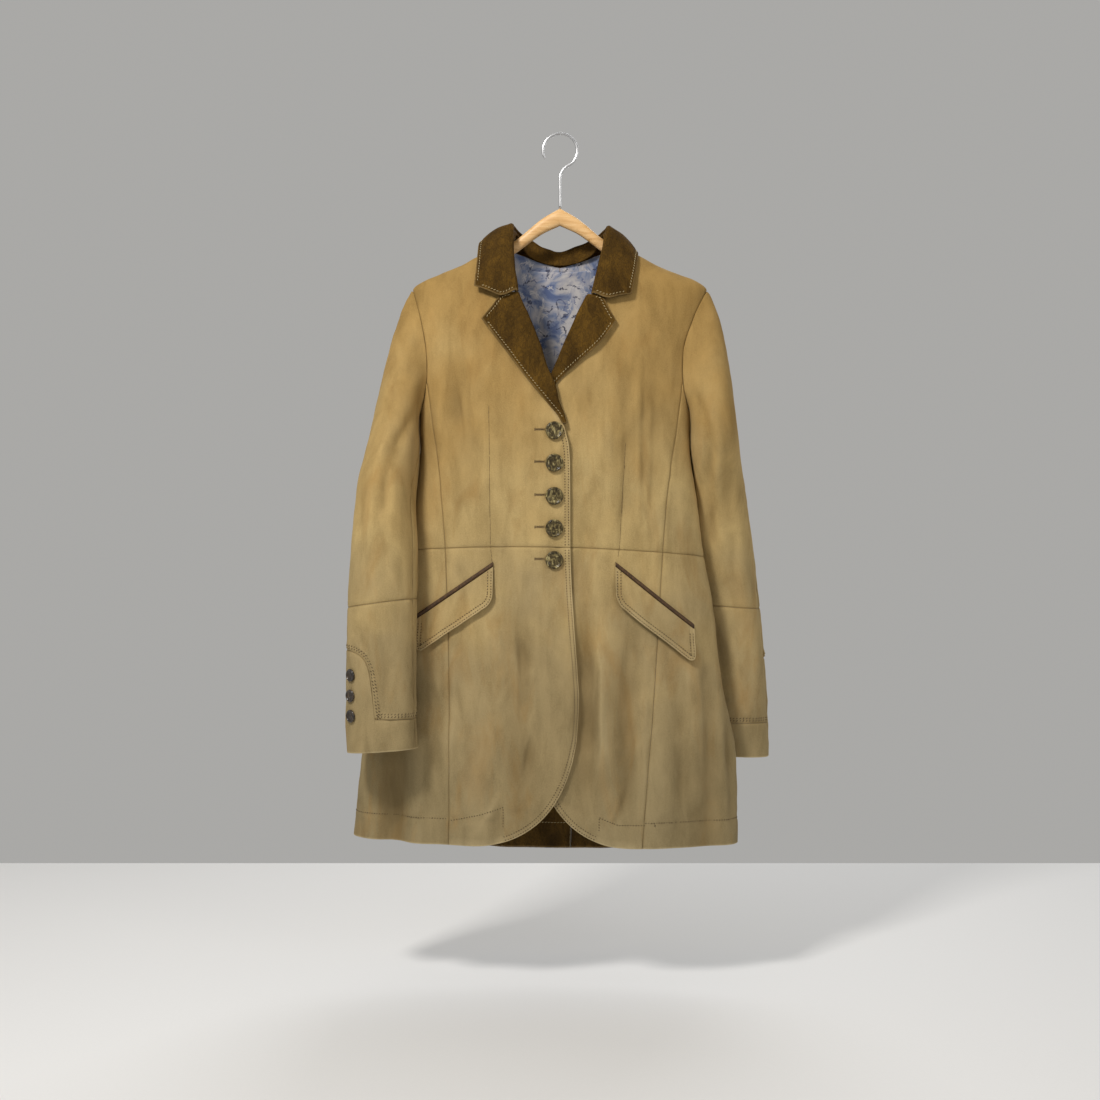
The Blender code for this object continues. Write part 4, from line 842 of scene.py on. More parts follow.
LOOKS = {
    "tan_suede": suede("tan_suede_nap", TAN_LEVELS, TAN_TINTS, TAN_SHADES, 0.3, 0.00045, 0.05, 0.06),
    "brown_suede": suede("brown_suede_nap", BROWN_LEVELS, BROWN_TINTS, BROWN_SHADES,
                         0.45, 0.0011, 0.03, 0.48),
    # This dark suede colours the welt cords, and also stands as painted shade in the buttonhole slits.
    "dark_suede": mottled("dark_suede_nap_and_slit_shade", DARK, 420.0, DRAWN, 0.62, 0.3, 0.00015),
    "lining": printed_lining("lining_print"),
    "horn": mottled("horn_polished", HORN, 130.0, DRAWN, 0.22, 0.15, 0.00004, 2.2,
                    Specular_IOR_Level=0.3, Coat_Weight=0.18, Coat_Roughness=0.12),
    "horn_dark": mottled("horn_dark_polished", HORN_DARK, 130.0, DRAWN, 0.24, 0.15, 0.00004, 2.2,
                         Coat_Weight=0.3, Coat_Roughness=0.14),
    "pine": mottled("pine_grain", PINE, 240.0, PINE_DRAWN, 0.4, 0.2, 0.00008, 0.8,
                    Coat_Weight=0.2, Coat_Roughness=0.3),
    "steel": mottled("hook_steel_wire", STEEL, 600.0, WIRE_DRAWN, 0.18, 0.25, 0.00002, Metallic=1.0),
    "pale_thread": mottled("thread_pale", PALE_THREAD, 1500.0, EVEN, 0.62, 0.3, 0.0001),
    "floor": mottled("floor_pale", FLOOR, 260.0, EVEN, 0.7, 0.1, 0.0001),
    "tan_thread": mottled("thread_tan", TAN_THREAD, 1500.0, EVEN, 0.65, 0.3, 0.0001),
}


def columns_of(names, rows):
    """Turn a table into named columns, lowest height first."""
    return dict(zip(names, np.array(sorted(rows), dtype=float).T))


def stacked(*columns):
    """Points from columns of coordinates."""
    return np.stack(np.broadcast_arrays(*columns), axis=-1)


def hermite(t, start, start_slope, end, end_slope):
    """Curve from start to end with the given slopes there, as t goes from 0 to 1."""
    return ((1 + 2 * t) * (1 - t) ** 2 * start + t * (1 - t) ** 2 * start_slope
            + t * t * (3 - 2 * t) * end + t * t * (t - 1) * end_slope)


def smooth(at, xs, ys):
    """Smooth curve through the given points that never overshoots them."""
    at = np.clip(np.asarray(at, dtype=float), xs[0], xs[-1])
    step = np.diff(xs)
    slope = np.diff(ys) / step
    tangent = np.concatenate([slope[:1], np.zeros(len(xs) - 2), slope[-1:]])
    for k in range(1, len(xs) - 1):
        if slope[k - 1] * slope[k] > 0:
            before = 2 * step[k] + step[k - 1]
            after = step[k] + 2 * step[k - 1]
            tangent[k] = (before + after) / (before / slope[k - 1] + after / slope[k])
    index = np.clip(np.searchsorted(xs, at) - 1, 0, len(xs) - 2)
    wide = step[index]
    t = (at - xs[index]) / wide
    return hermite(t, ys[index], wide * tangent[index], ys[index + 1], wide * tangent[index + 1])


def ease(t):
    """Smooth step from 0 to 1."""
    t = np.clip(t, 0.0, 1.0)
    return t * t * (3 - 2 * t)


def near(distance, reach, power=2):
    """Share that is 1 at no distance and fades over a reach."""
    return np.exp(-(distance / reach) ** power)


def unit(vectors):
    """Vectors of length one."""
    return vectors / np.maximum(np.linalg.norm(vectors, axis=-1, keepdims=True), 1e-12)


def wrapped(turn):
    """Turn brought within half a turn each way."""
    return (turn + np.pi) % (2 * np.pi) - np.pi


def travelled(points, axis=0):
    """Distance travelled along one axis of a grid, or along a line of points."""
    steps = np.linalg.norm(np.diff(points, axis=axis), axis=-1)
    return np.insert(np.cumsum(steps, axis=axis), 0, 0.0, axis=axis)


SECTION = columns_of(SECTION_COLUMNS, SECTIONS)
SEAM = columns_of(SEAM_COLUMNS, SEAMS)


def section(z, name):
    """One column of the section table at any height."""
    return smooth(z, SECTION["height"], SECTION[name])


def body_x(angle, z):
    """Sideways place of the body at an angle."""
    return section(z, "centre_x") + section(z, "half_width") * np.sin(angle)


def body_plain(angle, z):
    """Body surface without folds; angle 0 is the centre front, a quarter turn the side."""
    cosine = np.cos(angle)
    depth = np.where(cosine >= 0, section(z, "front_depth"), section(z, "back_depth"))
    return stacked(body_x(angle, z), -np.sign(cosine) * depth * np.abs(cosine) ** FLATNESS, z)


def front_angle(x, z):
    """Angle of the body's front at a place seen from the front."""
    share = (x - section(z, "centre_x")) / section(z, "half_width")
    return np.arcsin(np.clip(share, -1.0, 1.0))


def normal_of(surface, a, b, steps):
    """Outward normal of a surface given by two parameters, from a step to each side."""
    step_a, step_b = steps
    along = surface(a + step_a, b) - surface(a - step_a, b)
    across = surface(a, b + step_b) - surface(a, b - step_b)
    return unit(np.cross(along, across))


def waves(points, size, seed):
    """Soft uneven noise with bumps of about the given size."""
    random = np.random.default_rng(seed)
    total = np.zeros(points.shape[:-1])
    for _ in range(WAVE_COUNT):
        pitch = size * random.uniform(*WAVE_PITCHES)
        direction = unit(random.normal(size=3)) * 2 * np.pi / pitch
        total = total + np.sin(points @ direction + random.uniform(0, 2 * np.pi))
    return total / 2.0


def swell(points):
    """Broad uneven swelling of hung leather, longer than it is wide."""
    return SWELL * waves(points * np.array(SWELL_STRETCH), SWELL_SIZE, SWELL_SEED)


def along_crease(fold, z, phase):
    """Share of the way down a crease, its arch from end to end and its uneven beat."""
    share = (z - fold["z_top"]) / (fold["z_bottom"] - fold["z_top"])
    beat = 1 + CREASE_UNEVEN * np.sin(2 * np.pi * z / CREASE_BEAT + phase)
    return share, np.sin(np.pi * np.clip(share, 0.0, 1.0)), beat


def fold_height(angle, z):
    """How far the folds and creases move the body surface."""
    total = swell(body_plain(angle, z))
    half_width = section(z, "half_width")
    depth = FOLD_DEPTH_SHARE * section(z, "front_depth")
    for order, row in enumerate(FOLDS + CREASES):
        fold = dict(zip(CREASE_COLUMNS, row))
        share, arch, beat = along_crease(fold, z, CREASE_PHASE * order)
        x = fold["x_top"] + (fold["x_bottom"] - fold["x_top"]) * share
        strength = arch ** CREASE_POWER
        if "bow" in fold:
            x = x + fold["bow"] * arch
            strength = CREASE_DEPTH * strength * beat
        middle = front_angle(x, z)
        if fold["face"] < 0:
            middle = np.where(middle >= 0, np.pi - middle, -np.pi - middle)
        turn = wrapped(angle - middle)
        reach = np.hypot(half_width * np.cos(middle), depth)
        width = fold["half_width"] * (1 + fold.get("lean", 0.0) * np.sign(turn))
        total = total + fold["depth"] * near(turn * reach, width) * strength
    return total


def body(angle, z):
    """Body surface with its folds."""
    normal = normal_of(body_plain, angle, z, BODY_STEPS)
    return body_plain(angle, z) + fold_height(angle, z)[..., None] * normal


def body_normal(angle, z):
    """Outward normal of the folded body surface."""
    return normal_of(body, angle, z, BODY_STEPS)


def laid(angle, z, outward):
    """Points on the body moved out along its normals, and those normals."""
    normals = body_normal(angle, z)
    return body(angle, z) + np.asarray(outward)[..., None] * normals, normals


def table_line(rows):
    """Curve through a table of height and place."""
    heights, places = np.array(sorted(rows), dtype=float).T
    return lambda z: smooth(z, heights, places)


right_edge = table_line(RIGHT_EDGE)
left_edge = table_line(LEFT_EDGE)
back_turn = table_line(BACK_SEAM)


def waist_height(angle):
    """Height of the waist seam around the body."""
    return WAIST - WAIST_SIDE_DROP * np.sin(angle) ** 2 - LEAN * body_x(angle, WAIST)


def hem_height(angle):
    """Height of the hem around the body, lower at the back."""
    behind = ease((np.abs(wrapped(angle)) - np.pi / 2) / (np.pi / 2))
    return HEM - HEM_BACK_DROP * behind - LEAN * body_x(angle, HEM)


def armhole(side, turn):
    """Point of the armhole; turn 0 is the shoulder, a quarter the front, a half the underarm."""
    angle = side * (np.pi / 2 - ARMHOLE_HALF_ANGLE * np.sin(turn))
    return stacked(angle, ARMHOLE_MIDDLE + ARMHOLE_HALF_HEIGHT * np.cos(turn))


def panel_seam(side, face, z):
    """Seam from the armhole to the hem, on the front or back."""
    half = smooth(z, SEAM["height"], SEAM["front" if face > 0 else "back"])
    angle = np.arcsin(np.clip(half / section(z, "half_width"), 0.0, 1.0))
    return stacked(side * (angle if face > 0 else np.pi - angle), z)


def back_seam(side, z):
    """Centre back seam, which wanders to one side towards the hem."""
    return stacked(side * np.pi - back_turn(z), z)


def meeting(height, line, z):
    """Height where a line down the body meets the waist or hem."""
    for _ in range(MEETING_ROUNDS):
        z = float(height(line(z)))
    return z


def seam_ends(side, face):
    """Heights where a panel seam meets the waist and the hem."""
    levels = ((waist_height, WAIST), (hem_height, HEM))
    return [meeting(height, lambda z: panel_seam(side, face, z)[0], z) for height, z in levels]


def edge_waist(edge):
    """Height where a front edge meets the waist seam."""
    return meeting(waist_height, lambda z: front_angle(edge(z), z), WAIST)


def back_waist(side):
    """Height where the centre back seam meets the waist seam."""
    return float(waist_height(back_seam(side, WAIST)[0]))


def coons(left, right, top, bottom):
    """Fill a four sided patch from its border points."""
    v = np.linspace(0, 1, len(left))[:, None, None]
    u = np.linspace(0, 1, len(top))[None, :, None]
    ruled = (1 - u) * left[:, None] + u * right[:, None] + (1 - v) * top[None] + v * bottom[None]
    corners = ((1 - u) * (1 - v) * left[0] + u * (1 - v) * right[0]
               + (1 - u) * v * left[-1] + u * v * right[-1])
    return ruled - corners


def level_run(height, start, end, count):
    """Points along the waist or hem between the angles of two points."""
    angle = np.linspace(start[0], end[0], count + 1)
    return stacked(angle, height(angle))


def bodice_seam(side, face, top):
    """Points down a panel seam from the armhole to the waist."""
    return panel_seam(side, face, np.linspace(top, seam_ends(side, face)[0], SEAM_ROWS + 1))


def skirt_seam(side, face):
    """Points down a panel seam from the waist to the hem."""
    return panel_seam(side, face, np.linspace(*seam_ends(side, face), SKIRT_ROWS + 1))


def front_edge_run(edge, heights):
    """Points down a front edge."""
    return stacked(front_angle(edge(heights), heights), heights)


def roll_room(z):
    """How far the front stops short of the roll line, for the lapel to turn."""
    at_notch, at_foot, at_neck = ROLL_FADES
    room = ROLL_ROOM + COLLAR_ROOM * ease((z - NOTCH_HEIGHT) / at_notch)
    return room * ease((z - ROLL_FOOT) / at_foot) * ease((NECK - z) / at_neck)


def bodice_panel(left, side, face, count):
    """Front or back panel above the waist, from its inner border outwards."""
    turns = ARMHOLE_SPLIT * ARMHOLE_SHARES
    arm = armhole(side, turns if face > 0 else 2 * np.pi - turns)
    right = join_runs(arm, bodice_seam(side, face, arm[-1][1]))
    top = between(left[0], right[0], count)
    return coons(left, right, top, level_run(waist_height, left[-1], right[-1], count))


def bodice_front(side, edge):
    """Front panel above the waist."""
    low = np.linspace(NECK_FOOT, edge_waist(edge), SEAM_ROWS + 1)
    heights = join_runs(NECK + NECK_SHARES * (NECK_FOOT - NECK), low)
    left = front_edge_run(lambda z: edge(z) + side * roll_room(z), heights)
    return bodice_panel(left, side, 1, FRONT_COLUMNS)


def bodice_side(side):
    """Side panel under the armhole."""
    top = armhole(side, np.linspace(ARMHOLE_SPLIT, 2 * np.pi - ARMHOLE_SPLIT, SIDE_COLUMNS + 1))
    left = bodice_seam(side, 1, top[0][1])
    right = bodice_seam(side, -1, top[-1][1])
    left[0] = top[0]
    right[0] = top[-1]
    return coons(left, right, top, level_run(waist_height, left[-1], right[-1], SIDE_COLUMNS))


def bodice_back(side):
    """Back panel above the waist, with its neckline."""
    bends = [(side * (np.pi / 2 + turn), NECK - drop) for turn, drop in BACK_NECK_BENDS]
    neck = refined([(side * np.pi / 2, NECK), *bends, back_seam(side, NECK - BACK_NECK_DROP)])
    rows = len(ARMHOLE_SHARES) + SEAM_ROWS - len(neck)
    down = back_seam(side, np.linspace(neck[-1][1], back_waist(side), rows + 1))
    return bodice_panel(join_runs(neck, down), side, -1, BACK_COLUMNS)


def cutaway_run(side, edge, start, end, count):
    """Points of the rounded cutaway between two shares of its quarter turn."""
    turn = np.linspace(start, end, count + 1) * np.pi / 2
    corner_x = float(edge(CUTAWAY_TOP)) + side * CUTAWAY_WIDTH
    low = float(hem_height(front_angle(corner_x, HEM)))
    x = corner_x - side * CUTAWAY_WIDTH * np.cos(turn) ** (2 / CUTAWAY_POWER)
    z = CUTAWAY_TOP + (low - CUTAWAY_TOP) * np.sin(turn) ** (2 / CUTAWAY_POWER)
    return stacked(front_angle(x, z), z)


def skirt_panel(left, right, count, curve=None):
    """Panel below the waist, with a curve at the start of its hem or none."""
    top = level_run(waist_height, left[0], right[0], count)
    if curve is None:
        return coons(left, right, top, level_run(hem_height, left[-1], right[-1], count))
    straight = level_run(hem_height, curve[-1], right[-1], count + 1 - len(curve))
    return coons(left, right, top, join_runs(curve, straight))


def skirt_front(side, edge):
    """Front panel below the waist with its rounded cutaway."""
    heights = np.linspace(edge_waist(edge), CUTAWAY_TOP, SKIRT_ROWS - CURVE_ROWS + 1)
    left = join_runs(front_edge_run(edge, heights), cutaway_run(side, edge, 0.0, 0.5, CURVE_ROWS))
    curve = cutaway_run(side, edge, 0.5, 1.0, FRONT_COLUMNS - DENSITY)
    return skirt_panel(left, skirt_seam(side, 1), FRONT_COLUMNS, curve)


def skirt_side(side):
    """Side panel below the waist."""
    return skirt_panel(skirt_seam(side, 1), skirt_seam(side, -1), SIDE_COLUMNS)


def skirt_back(side):
    """Back panel below the waist."""
    low = float(hem_height(back_seam(side, HEM - HEM_BACK_DROP)[0]))
    left = back_seam(side, np.linspace(back_waist(side), low, SKIRT_ROWS + 1))
    return skirt_panel(left, skirt_seam(side, -1), BACK_COLUMNS)


def lap_inset(x, z):
    """How far the under front lies behind the upper one near the front edge."""
    reach = right_edge(z) + LAP_BLEND - x
    depth = LAP_INSET + (LAP_INSET_TOP - LAP_INSET) * ease((z - LAP_TOP) / LAP_FADE)
    return depth * ease(reach / LAP_BLEND)


def under_front(angle, z):
    """Body surface as the under front follows it."""
    return laid(angle, z, -lap_inset(body(angle, z)[..., 0], z))[0]


def front_surface(x, z, outward=0.0, under=False):
    """Place on a front seen at x and z, moved out."""
    deep = lap_inset(x, z) if under else 0.0
    return laid(front_angle(x, z), z, outward - deep)[0]


def sleeve_ring(rings, turn, z):
    """Level ring of a sleeve; turn 0 faces away from the body, a quarter turn the front."""
    table = columns_of(RING_COLUMNS, rings)
    side = np.sign(rings[0][1])
    value = {name: smooth(z, table["height"], table[name]) for name in RING_COLUMNS[1:]}
    wide = side * value["half_width"] * np.cos(turn)
    deep = -value["half_depth"] * np.sign(np.sin(turn)) * np.abs(np.sin(turn)) ** SLEEVE_FLATNESS
    spin = np.radians(value["turn"])
    x = value["centre_x"] + wide * np.cos(spin) + deep * np.sin(spin)
    y = value["centre_y"] - wide * np.sin(spin) + deep * np.cos(spin)
    return stacked(x, y, z)


def sleeve(rings, turn, down):
    """Sleeve surface; down 0 is the armhole, 1 the first ring and 2 the last ring."""
    turn, down = np.broadcast_arrays(np.asarray(turn, dtype=float), np.asarray(down, dtype=float))
    side = np.sign(rings[0][1])
    first = rings[0][0]
    last = rings[-1][0]
    start = armhole(side, turn)
    hole = body(start[..., 0], start[..., 1])
    ring = sleeve_ring(rings, turn, first)
    over = ((1 + np.cos(turn)) / 2)[..., None]
    outward = stacked(side, -CAP_SPREAD * np.sin(turn), 1.0) * (CAP_UNDER + CAP_OVER * over)
    pull = CAP_UNDER_PULL + (CAP_TOP_PULL - CAP_UNDER_PULL) * over
    reach = RING_UNDER_PULL + (RING_TOP_PULL - RING_UNDER_PULL) * over
    drift = (sleeve_ring(rings, turn, first - RING_STEP) - ring) / RING_STEP
    t = np.clip(down, -0.1, 1.0)[..., None]
    cap = hermite(t, hole, unit(outward) * pull, ring, drift * reach)
    arm = sleeve_ring(rings, turn, first + np.clip(down - 1, 0.0, 1.0) * (last - first))
    return np.where(down[..., None] <= 1, cap, arm)


def sleeve_down(rings, z):
    """Sleeve parameter at a height below the first ring."""
    return 1 + (z - rings[0][0]) / (rings[-1][0] - rings[0][0])


def cuff_top(sizes, angle, face):
    """Top line of the cuff, rising in a curve to the vent."""
    across, upright = VENT_POWERS
    rise = VENT_RISE * np.clip(1 - (angle / VENT_ANGLE) ** across, 0.0, 1.0) ** (1 / upright)
    return sizes["cuff_top"] + (rise if sizes["vent_face"] == face else 0 * rise)


def sleeve_pieces(word, rings, row):
    """The six pieces of one sleeve as grids of turn and down."""
    sizes = dict(zip(SLEEVE_COLUMNS, row))
    under = np.linspace(ARMHOLE_SPLIT, np.pi, SIDE_COLUMNS // 2 + 1)
    angle = join_runs(ARMHOLE_SPLIT * ARMHOLE_SHARES, under)
    for face, part in ((1, "top"), (-1, "under")):
        turns = angle if face > 0 else 2 * np.pi - angle
        elbow = sizes["elbow"] + sizes["elbow_lean"] * np.cos(turns)
        cuff = cuff_top(sizes, angle, face)
        hem = sizes["hem"] + sizes["hem_lean"] * np.cos(turns)
        first = 1 + 0 * turns
        cap = between(0 * turns, first, CAP_ROWS)
        arm = between(first, sleeve_down(rings, elbow), ARM_ROWS)
        yield f"sleeve_{part}_{word}", turns, join_runs(cap, arm)
        yield f"forearm_{part}_{word}", turns, sleeve_down(rings, between(elbow, cuff, FOREARM_ROWS))
        yield f"cuff_{part}_{word}", turns, sleeve_down(rings, between(cuff, hem, CUFF_ROWS))


def dart_line(dart, z):
    """Sideways place of a dart at a height."""
    places, heights = np.array(dart[::-1]).T
    return np.interp(z, heights, places)


def dart_height(x, z):
    """How far the darts draw the fronts in."""
    total = 0.0
    at_top, at_foot = DART_FADES
    for dart in DARTS:
        window = ease((dart[0][1] - z) / at_top) * ease((z - dart[-1][1]) / at_foot)
        total = total - DART_DEPTH * window * near(x - dart_line(dart, z), DART_WIDTH)
    return total


def sleeve_fold(side, turn, z):
    """How far the creases move a sleeve's surface."""
    total = np.zeros(z.shape)
    for order, row in enumerate(SLEEVE_CREASES):
        fold = dict(zip(SLEEVE_CREASE_COLUMNS, row))
        if fold["sleeve"] != side:
            continue
        share, arch, beat = along_crease(fold, z, SLEEVE_CREASE_PHASE * order)
        middle = np.radians(fold["turn_top"] + (fold["turn_bottom"] - fold["turn_top"]) * share)
        away = wrapped(turn - middle) * SLEEVE_REACH
        total = total + fold["depth"] * near(away, fold["half_width"]) * arch ** CREASE_POWER * beat
    return total


def rounded(points, times, axis):
    """Smooth curves through the points along one axis of a grid."""
    points = np.moveaxis(points, axis, 0)
    first = 2 * points[:1] - points[1:2]
    last = 2 * points[-1:] - points[-2:-1]
    ends = np.concatenate([first, points, last])
    a, b, c, d = ends[:-3], ends[1:-2], ends[2:-1], ends[3:]
    steps = []
    for t in np.arange(times) / times:
        bend = (2 * a - 5 * b + 4 * c - d) * t ** 2 + (3 * b - a - 3 * c + d) * t ** 3
        steps.append(0.5 * (2 * b + (c - a) * t + bend))
    curve = np.stack(steps, axis=1).reshape((-1,) + points.shape[1:])
    return np.moveaxis(np.concatenate([curve, points[-1:]]), 0, axis)


# Borders of a grid of points, each with the row beside it.
ALL = slice(None)
BORDERS = {
    "top": ((0, ALL), (1, ALL)),
    "bottom": ((-1, ALL), (-2, ALL)),
    "left": ((ALL, 0), (ALL, 1)),
    "right": ((ALL, -1), (ALL, -2)),
}

# Outer faces and normals of the panels by node, and search trees over them.
PANELS = {}
TREES = {}


def inward(points, normals, border):
    """Direction from a border into its grid, square to the border."""
    edge, inside = BORDERS[border]
    across = unit(np.cross(normals[edge], np.gradient(points[edge], axis=0)))
    return across * np.sign(np.sum(across * (points[inside] - points[edge]), axis=-1, keepdims=True))


def border_distances(points):
    """Distance of each grid point from the four borders, along its row or column."""
    top = travelled(points, 0)
    left = travelled(points, 1)
    return {"top": top, "bottom": top[-1:] - top, "left": left, "right": left[:, -1:] - left}


def make_object(name, vertices, faces, looks, face_looks=None, values=None):
    """Make one smooth mesh object that moves with the coat."""
    mesh = bpy.data.meshes.new(name)
    mesh.from_pydata(np.asarray(vertices).tolist(), [], [list(map(int, face)) for face in faces])
    mesh.polygons.foreach_set("use_smooth", [True] * len(mesh.polygons))
    for look in looks:
        mesh.materials.append(LOOKS[look])
    if face_looks is not None:
        mesh.polygons.foreach_set("material_index", np.asarray(face_looks, dtype=np.int32))
    for key, numbers in (values or {}).items():
        layer = mesh.attributes.new(key, "FLOAT", "POINT")
        layer.data.foreach_set("value", np.asarray(numbers, dtype=np.float32))
    mesh.update()
    item = bpy.data.objects.new(name, mesh)
    bpy.context.scene.collection.objects.link(item)
    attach(item, "root")
    return item


def stand_for(node):
    """Hide the part that an item replaces."""
    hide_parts(node)


def shell(name, outer, inner, normals, gap, looks, **values):
    """Closed thin shell with a rolled rim between two grids of points."""
    rows, cols = outer.shape[:2]
    count = rows * cols
    index = np.arange(count).reshape(rows, cols)
    pull = np.zeros(outer.shape)
    for border, (edge, _) in BORDERS.items():
        pull[edge] += inward(outer, normals, border)
    ring = np.concatenate([index[0], index[1:, -1], index[-1, -2::-1], index[-2:0:-1, 0]])
    pull, outer_flat, inner_flat = (grid.reshape(-1, 3) for grid in (pull, outer, inner))
    parts = [face + pull * (gap / 2 + RIM_INSET) for face in (outer_flat, inner_flat)]
    for share, inset in RIM:
        loop = (1 - share) * outer_flat[ring] + share * inner_flat[ring]
        parts.append(loop + pull[ring] * (gap / 2 + inset))
    quads = np.stack([index[:-1, :-1], index[:-1, 1:], index[1:, 1:], index[1:, :-1]], -1).reshape(-1, 4)
    loops = [2 * count + k * len(ring) + np.arange(len(ring)) for k in range(len(RIM))]
    loops = [ring, *loops, count + ring]
    rim = [np.stack([a, b, np.roll(b, -1), np.roll(a, -1)], -1) for a, b in zip(loops, loops[1:])]
    faces = np.concatenate([quads, count + quads[:, ::-1], *rim])
    face_looks = np.zeros(len(faces), dtype=int)
    face_looks[len(quads):2 * len(quads)] = len(looks) - 1
    right_way = np.cross(outer[:-1, 1:] - outer[:-1, :-1], outer[1:, :-1] - outer[:-1, :-1])
    if np.sum(right_way * normals[:-1, :-1]) < 0:
        faces = faces[:, ::-1]
    for key, value in values.items():
        flat = value.reshape(-1)
        values[key] = np.concatenate([flat, flat, np.tile(flat[ring], len(RIM))])
    return make_object(name, np.concatenate(parts), faces, looks, face_looks, values)


def cut_size(points):
    """Widest row, longest column and area of a grid of points."""
    width = float(travelled(points, 1)[:, -1].max())
    length = float(travelled(points, 0)[-1].max())
    cells = np.cross(np.diff(points, axis=0)[:, :-1], np.diff(points, axis=1)[:-1])
    area = float(np.linalg.norm(cells, axis=-1).sum())
    return width, length, min(area, width * length)


def panel(node, points, normals, borders, cloth, gap=SEAM_LINE, rise=0.0, painted_shade=0.0):
    """One cut piece as a shell; borders name seams, stitched edges and free edges."""
    slot, thickness, looks = CLOTHS[cloth]
    seed = len(PANELS) * 10
    distances = border_distances(points)
    small = RUMPLE * waves(points, RUMPLE_SIZE, seed)
    ripple = waves(points, PUCKER_SIZE, seed + 2)
    wear = np.zeros(points.shape[:2])
    beside = [(distances[border], kind) for border, kind in zip(BORDERS, borders)]
    if node.startswith("skirt"):
        beside.append((distances["bottom"], "hem"))
    for away, kind in beside:
        for height, inset, reach, ripples in RELIEF.get(kind, ()):
            small = small + height * (ripple if ripples else 1.0) * near(away - inset, reach)
        if kind in ("seam", "puckered"):
            painted_shade = painted_shade - SEAM_SHADE * near(away, SEAM_LINE_REACH)
        if kind in ("stitched", "trimmed", "edge"):
            wear = np.maximum(wear, near(away, EDGE_WEAR))
        if kind == "stitched":
            wear = np.maximum(wear, BAND_WEAR * near(away, EDGE_BAND, BAND_POWER))
            below = ease((ROLL_FOOT - points[..., 2]) / EDGE_FADE)
            rise = rise + EDGE_LIFT * below * near(away, EDGE_REACH)
    moved = points + (rise + 0 * small)[..., None] * normals
    small = np.clip(small, -MOST_RELIEF * thickness, MOST_RELIEF * thickness)
    outer = moved + small[..., None] * normals
    inner = moved - thickness * normals
    # The rise attribute holds painted shade and highlight: fold height, relief and seam lines darken
    # hollows and pale ridges in the suede.
    shade = (rise + small + painted_shade) / PAINTED_SHADE_RISE
    item = shell(f"{node}_cloth", outer, inner, normals, gap, looks, wear=wear, rise=shade)
    stand_for(node)
    width, length, area = cut_size(points)
    PANELS[node] = (outer, normals)


def fine_borders(grid, surface):
    """Grid of parameters with extra lines close to each border, for narrow seams."""
    for axis in (0, 1, 0, 1):
        grid = np.moveaxis(np.flip(grid, axis), axis, 0)
        ends = surface(grid[:2, :, 0], grid[:2, :, 1])
        step = np.linalg.norm(ends[1] - ends[0], axis=-1, keepdims=True)
        shares = [np.minimum(reach / step, most) for reach, most in SEAM_LINES]
        lines = [((1 - share) * grid[0] + share * grid[1])[None] for share in shares]
        grid = np.moveaxis(np.concatenate([grid[:1], *lines, grid[1:]]), 0, axis)
    return grid


def body_panel(node, grid, surface, borders, front=False):
    """Shell of one body panel from its grid of angles and heights."""
    angle, z = np.moveaxis(fine_borders(grid, surface), -1, 0)
    points = surface(angle, z)
    normals = normal_of(surface, angle, z, BODY_STEPS)
    rise = dart_height(points[..., 0], z) if front else 0.0
    panel(node, points, normals, borders, "coat", rise=rise, painted_shade=fold_height(angle, z))


def side_gap(side, points):
    """How far places beside the body stand off its side, measured sideways."""
    x, y, z = np.moveaxis(points, -1, 0)
    depth = np.where(y < 0, section(z, "front_depth"), section(z, "back_depth"))
    cosine = -np.sign(y) * np.clip(np.abs(y) / depth, 0.0, 1.0) ** (1 / FLATNESS)
    return side * (x - body(side * np.arccos(cosine), z)[..., 0])


def sleeve_panel(node, rings, turns, down, borders):
    """Shell of one sleeve piece from its grid of turn and down."""
    side = np.sign(rings[0][1])

    def surface(a, b):
        return sleeve(rings, a, b)

    turn, down = np.moveaxis(fine_borders(stacked(turns, down), surface), -1, 0)
    points = surface(turn, down)
    normals = side * normal_of(surface, turn, down, SLEEVE_STEPS)
    rise = sleeve_fold(side, turn, points[..., 2]) + swell(points)
    outer = np.clip(side * normals[..., 0], 0.0, 1.0)
    rise = rise * ease(down / CREASE_START) * SLEEVE_CREASE_DEPTH * (1 - OUTLINE_CALM * outer ** 2)
    inner = np.clip(-side * normals[..., 0], 0.0, 1.0)
    beside = near(points[..., 2] - SIDE_MIDDLE, SIDE_REACH) * ease(down / SIDE_START)
    room = inner * side_gap(side, points + rise[..., None] * normals) - SIDE_ROOM
    rise = rise + np.minimum(SIDE_CLOSE[int(side)] * inner ** 2 * beside, np.maximum(room, 0.0))
    if node.startswith("sleeve"):
        rise = rise + CAP_PUFF * np.clip(normals[..., 2], 0.0, 1.0) * near(down, CAP_REACH)
        under = ((1 - np.cos(turn)) / 2) ** 2 * near(down, CAP_REACH)
        points = points + UNDERARM_LIFT * under[..., None] * UP
        start = armhole(side, turn[0])
        tucked = points[0] - ARMHOLE_TUCK * body_normal(start[..., 0], start[..., 1])
        points = np.concatenate([tucked[None], points])
        normals = np.concatenate([normals[:1], normals])
        rise = np.concatenate([rise[:1], rise])
    panel(node, points, normals, borders, "coat", rise=rise)


def leaf(columns, density, towards):
    """Outer face and normals of a collar or lapel, turned to the side that shows."""
    middle = rounded(np.stack(columns, axis=1), density, 1)
    normals = unit(np.cross(np.gradient(middle, axis=1), np.gradient(middle, axis=0)))
    normals = normals * np.sign(np.sum(normals[:, -1] * towards))
    return middle + COLLAR_WALL / 2 * normals, normals


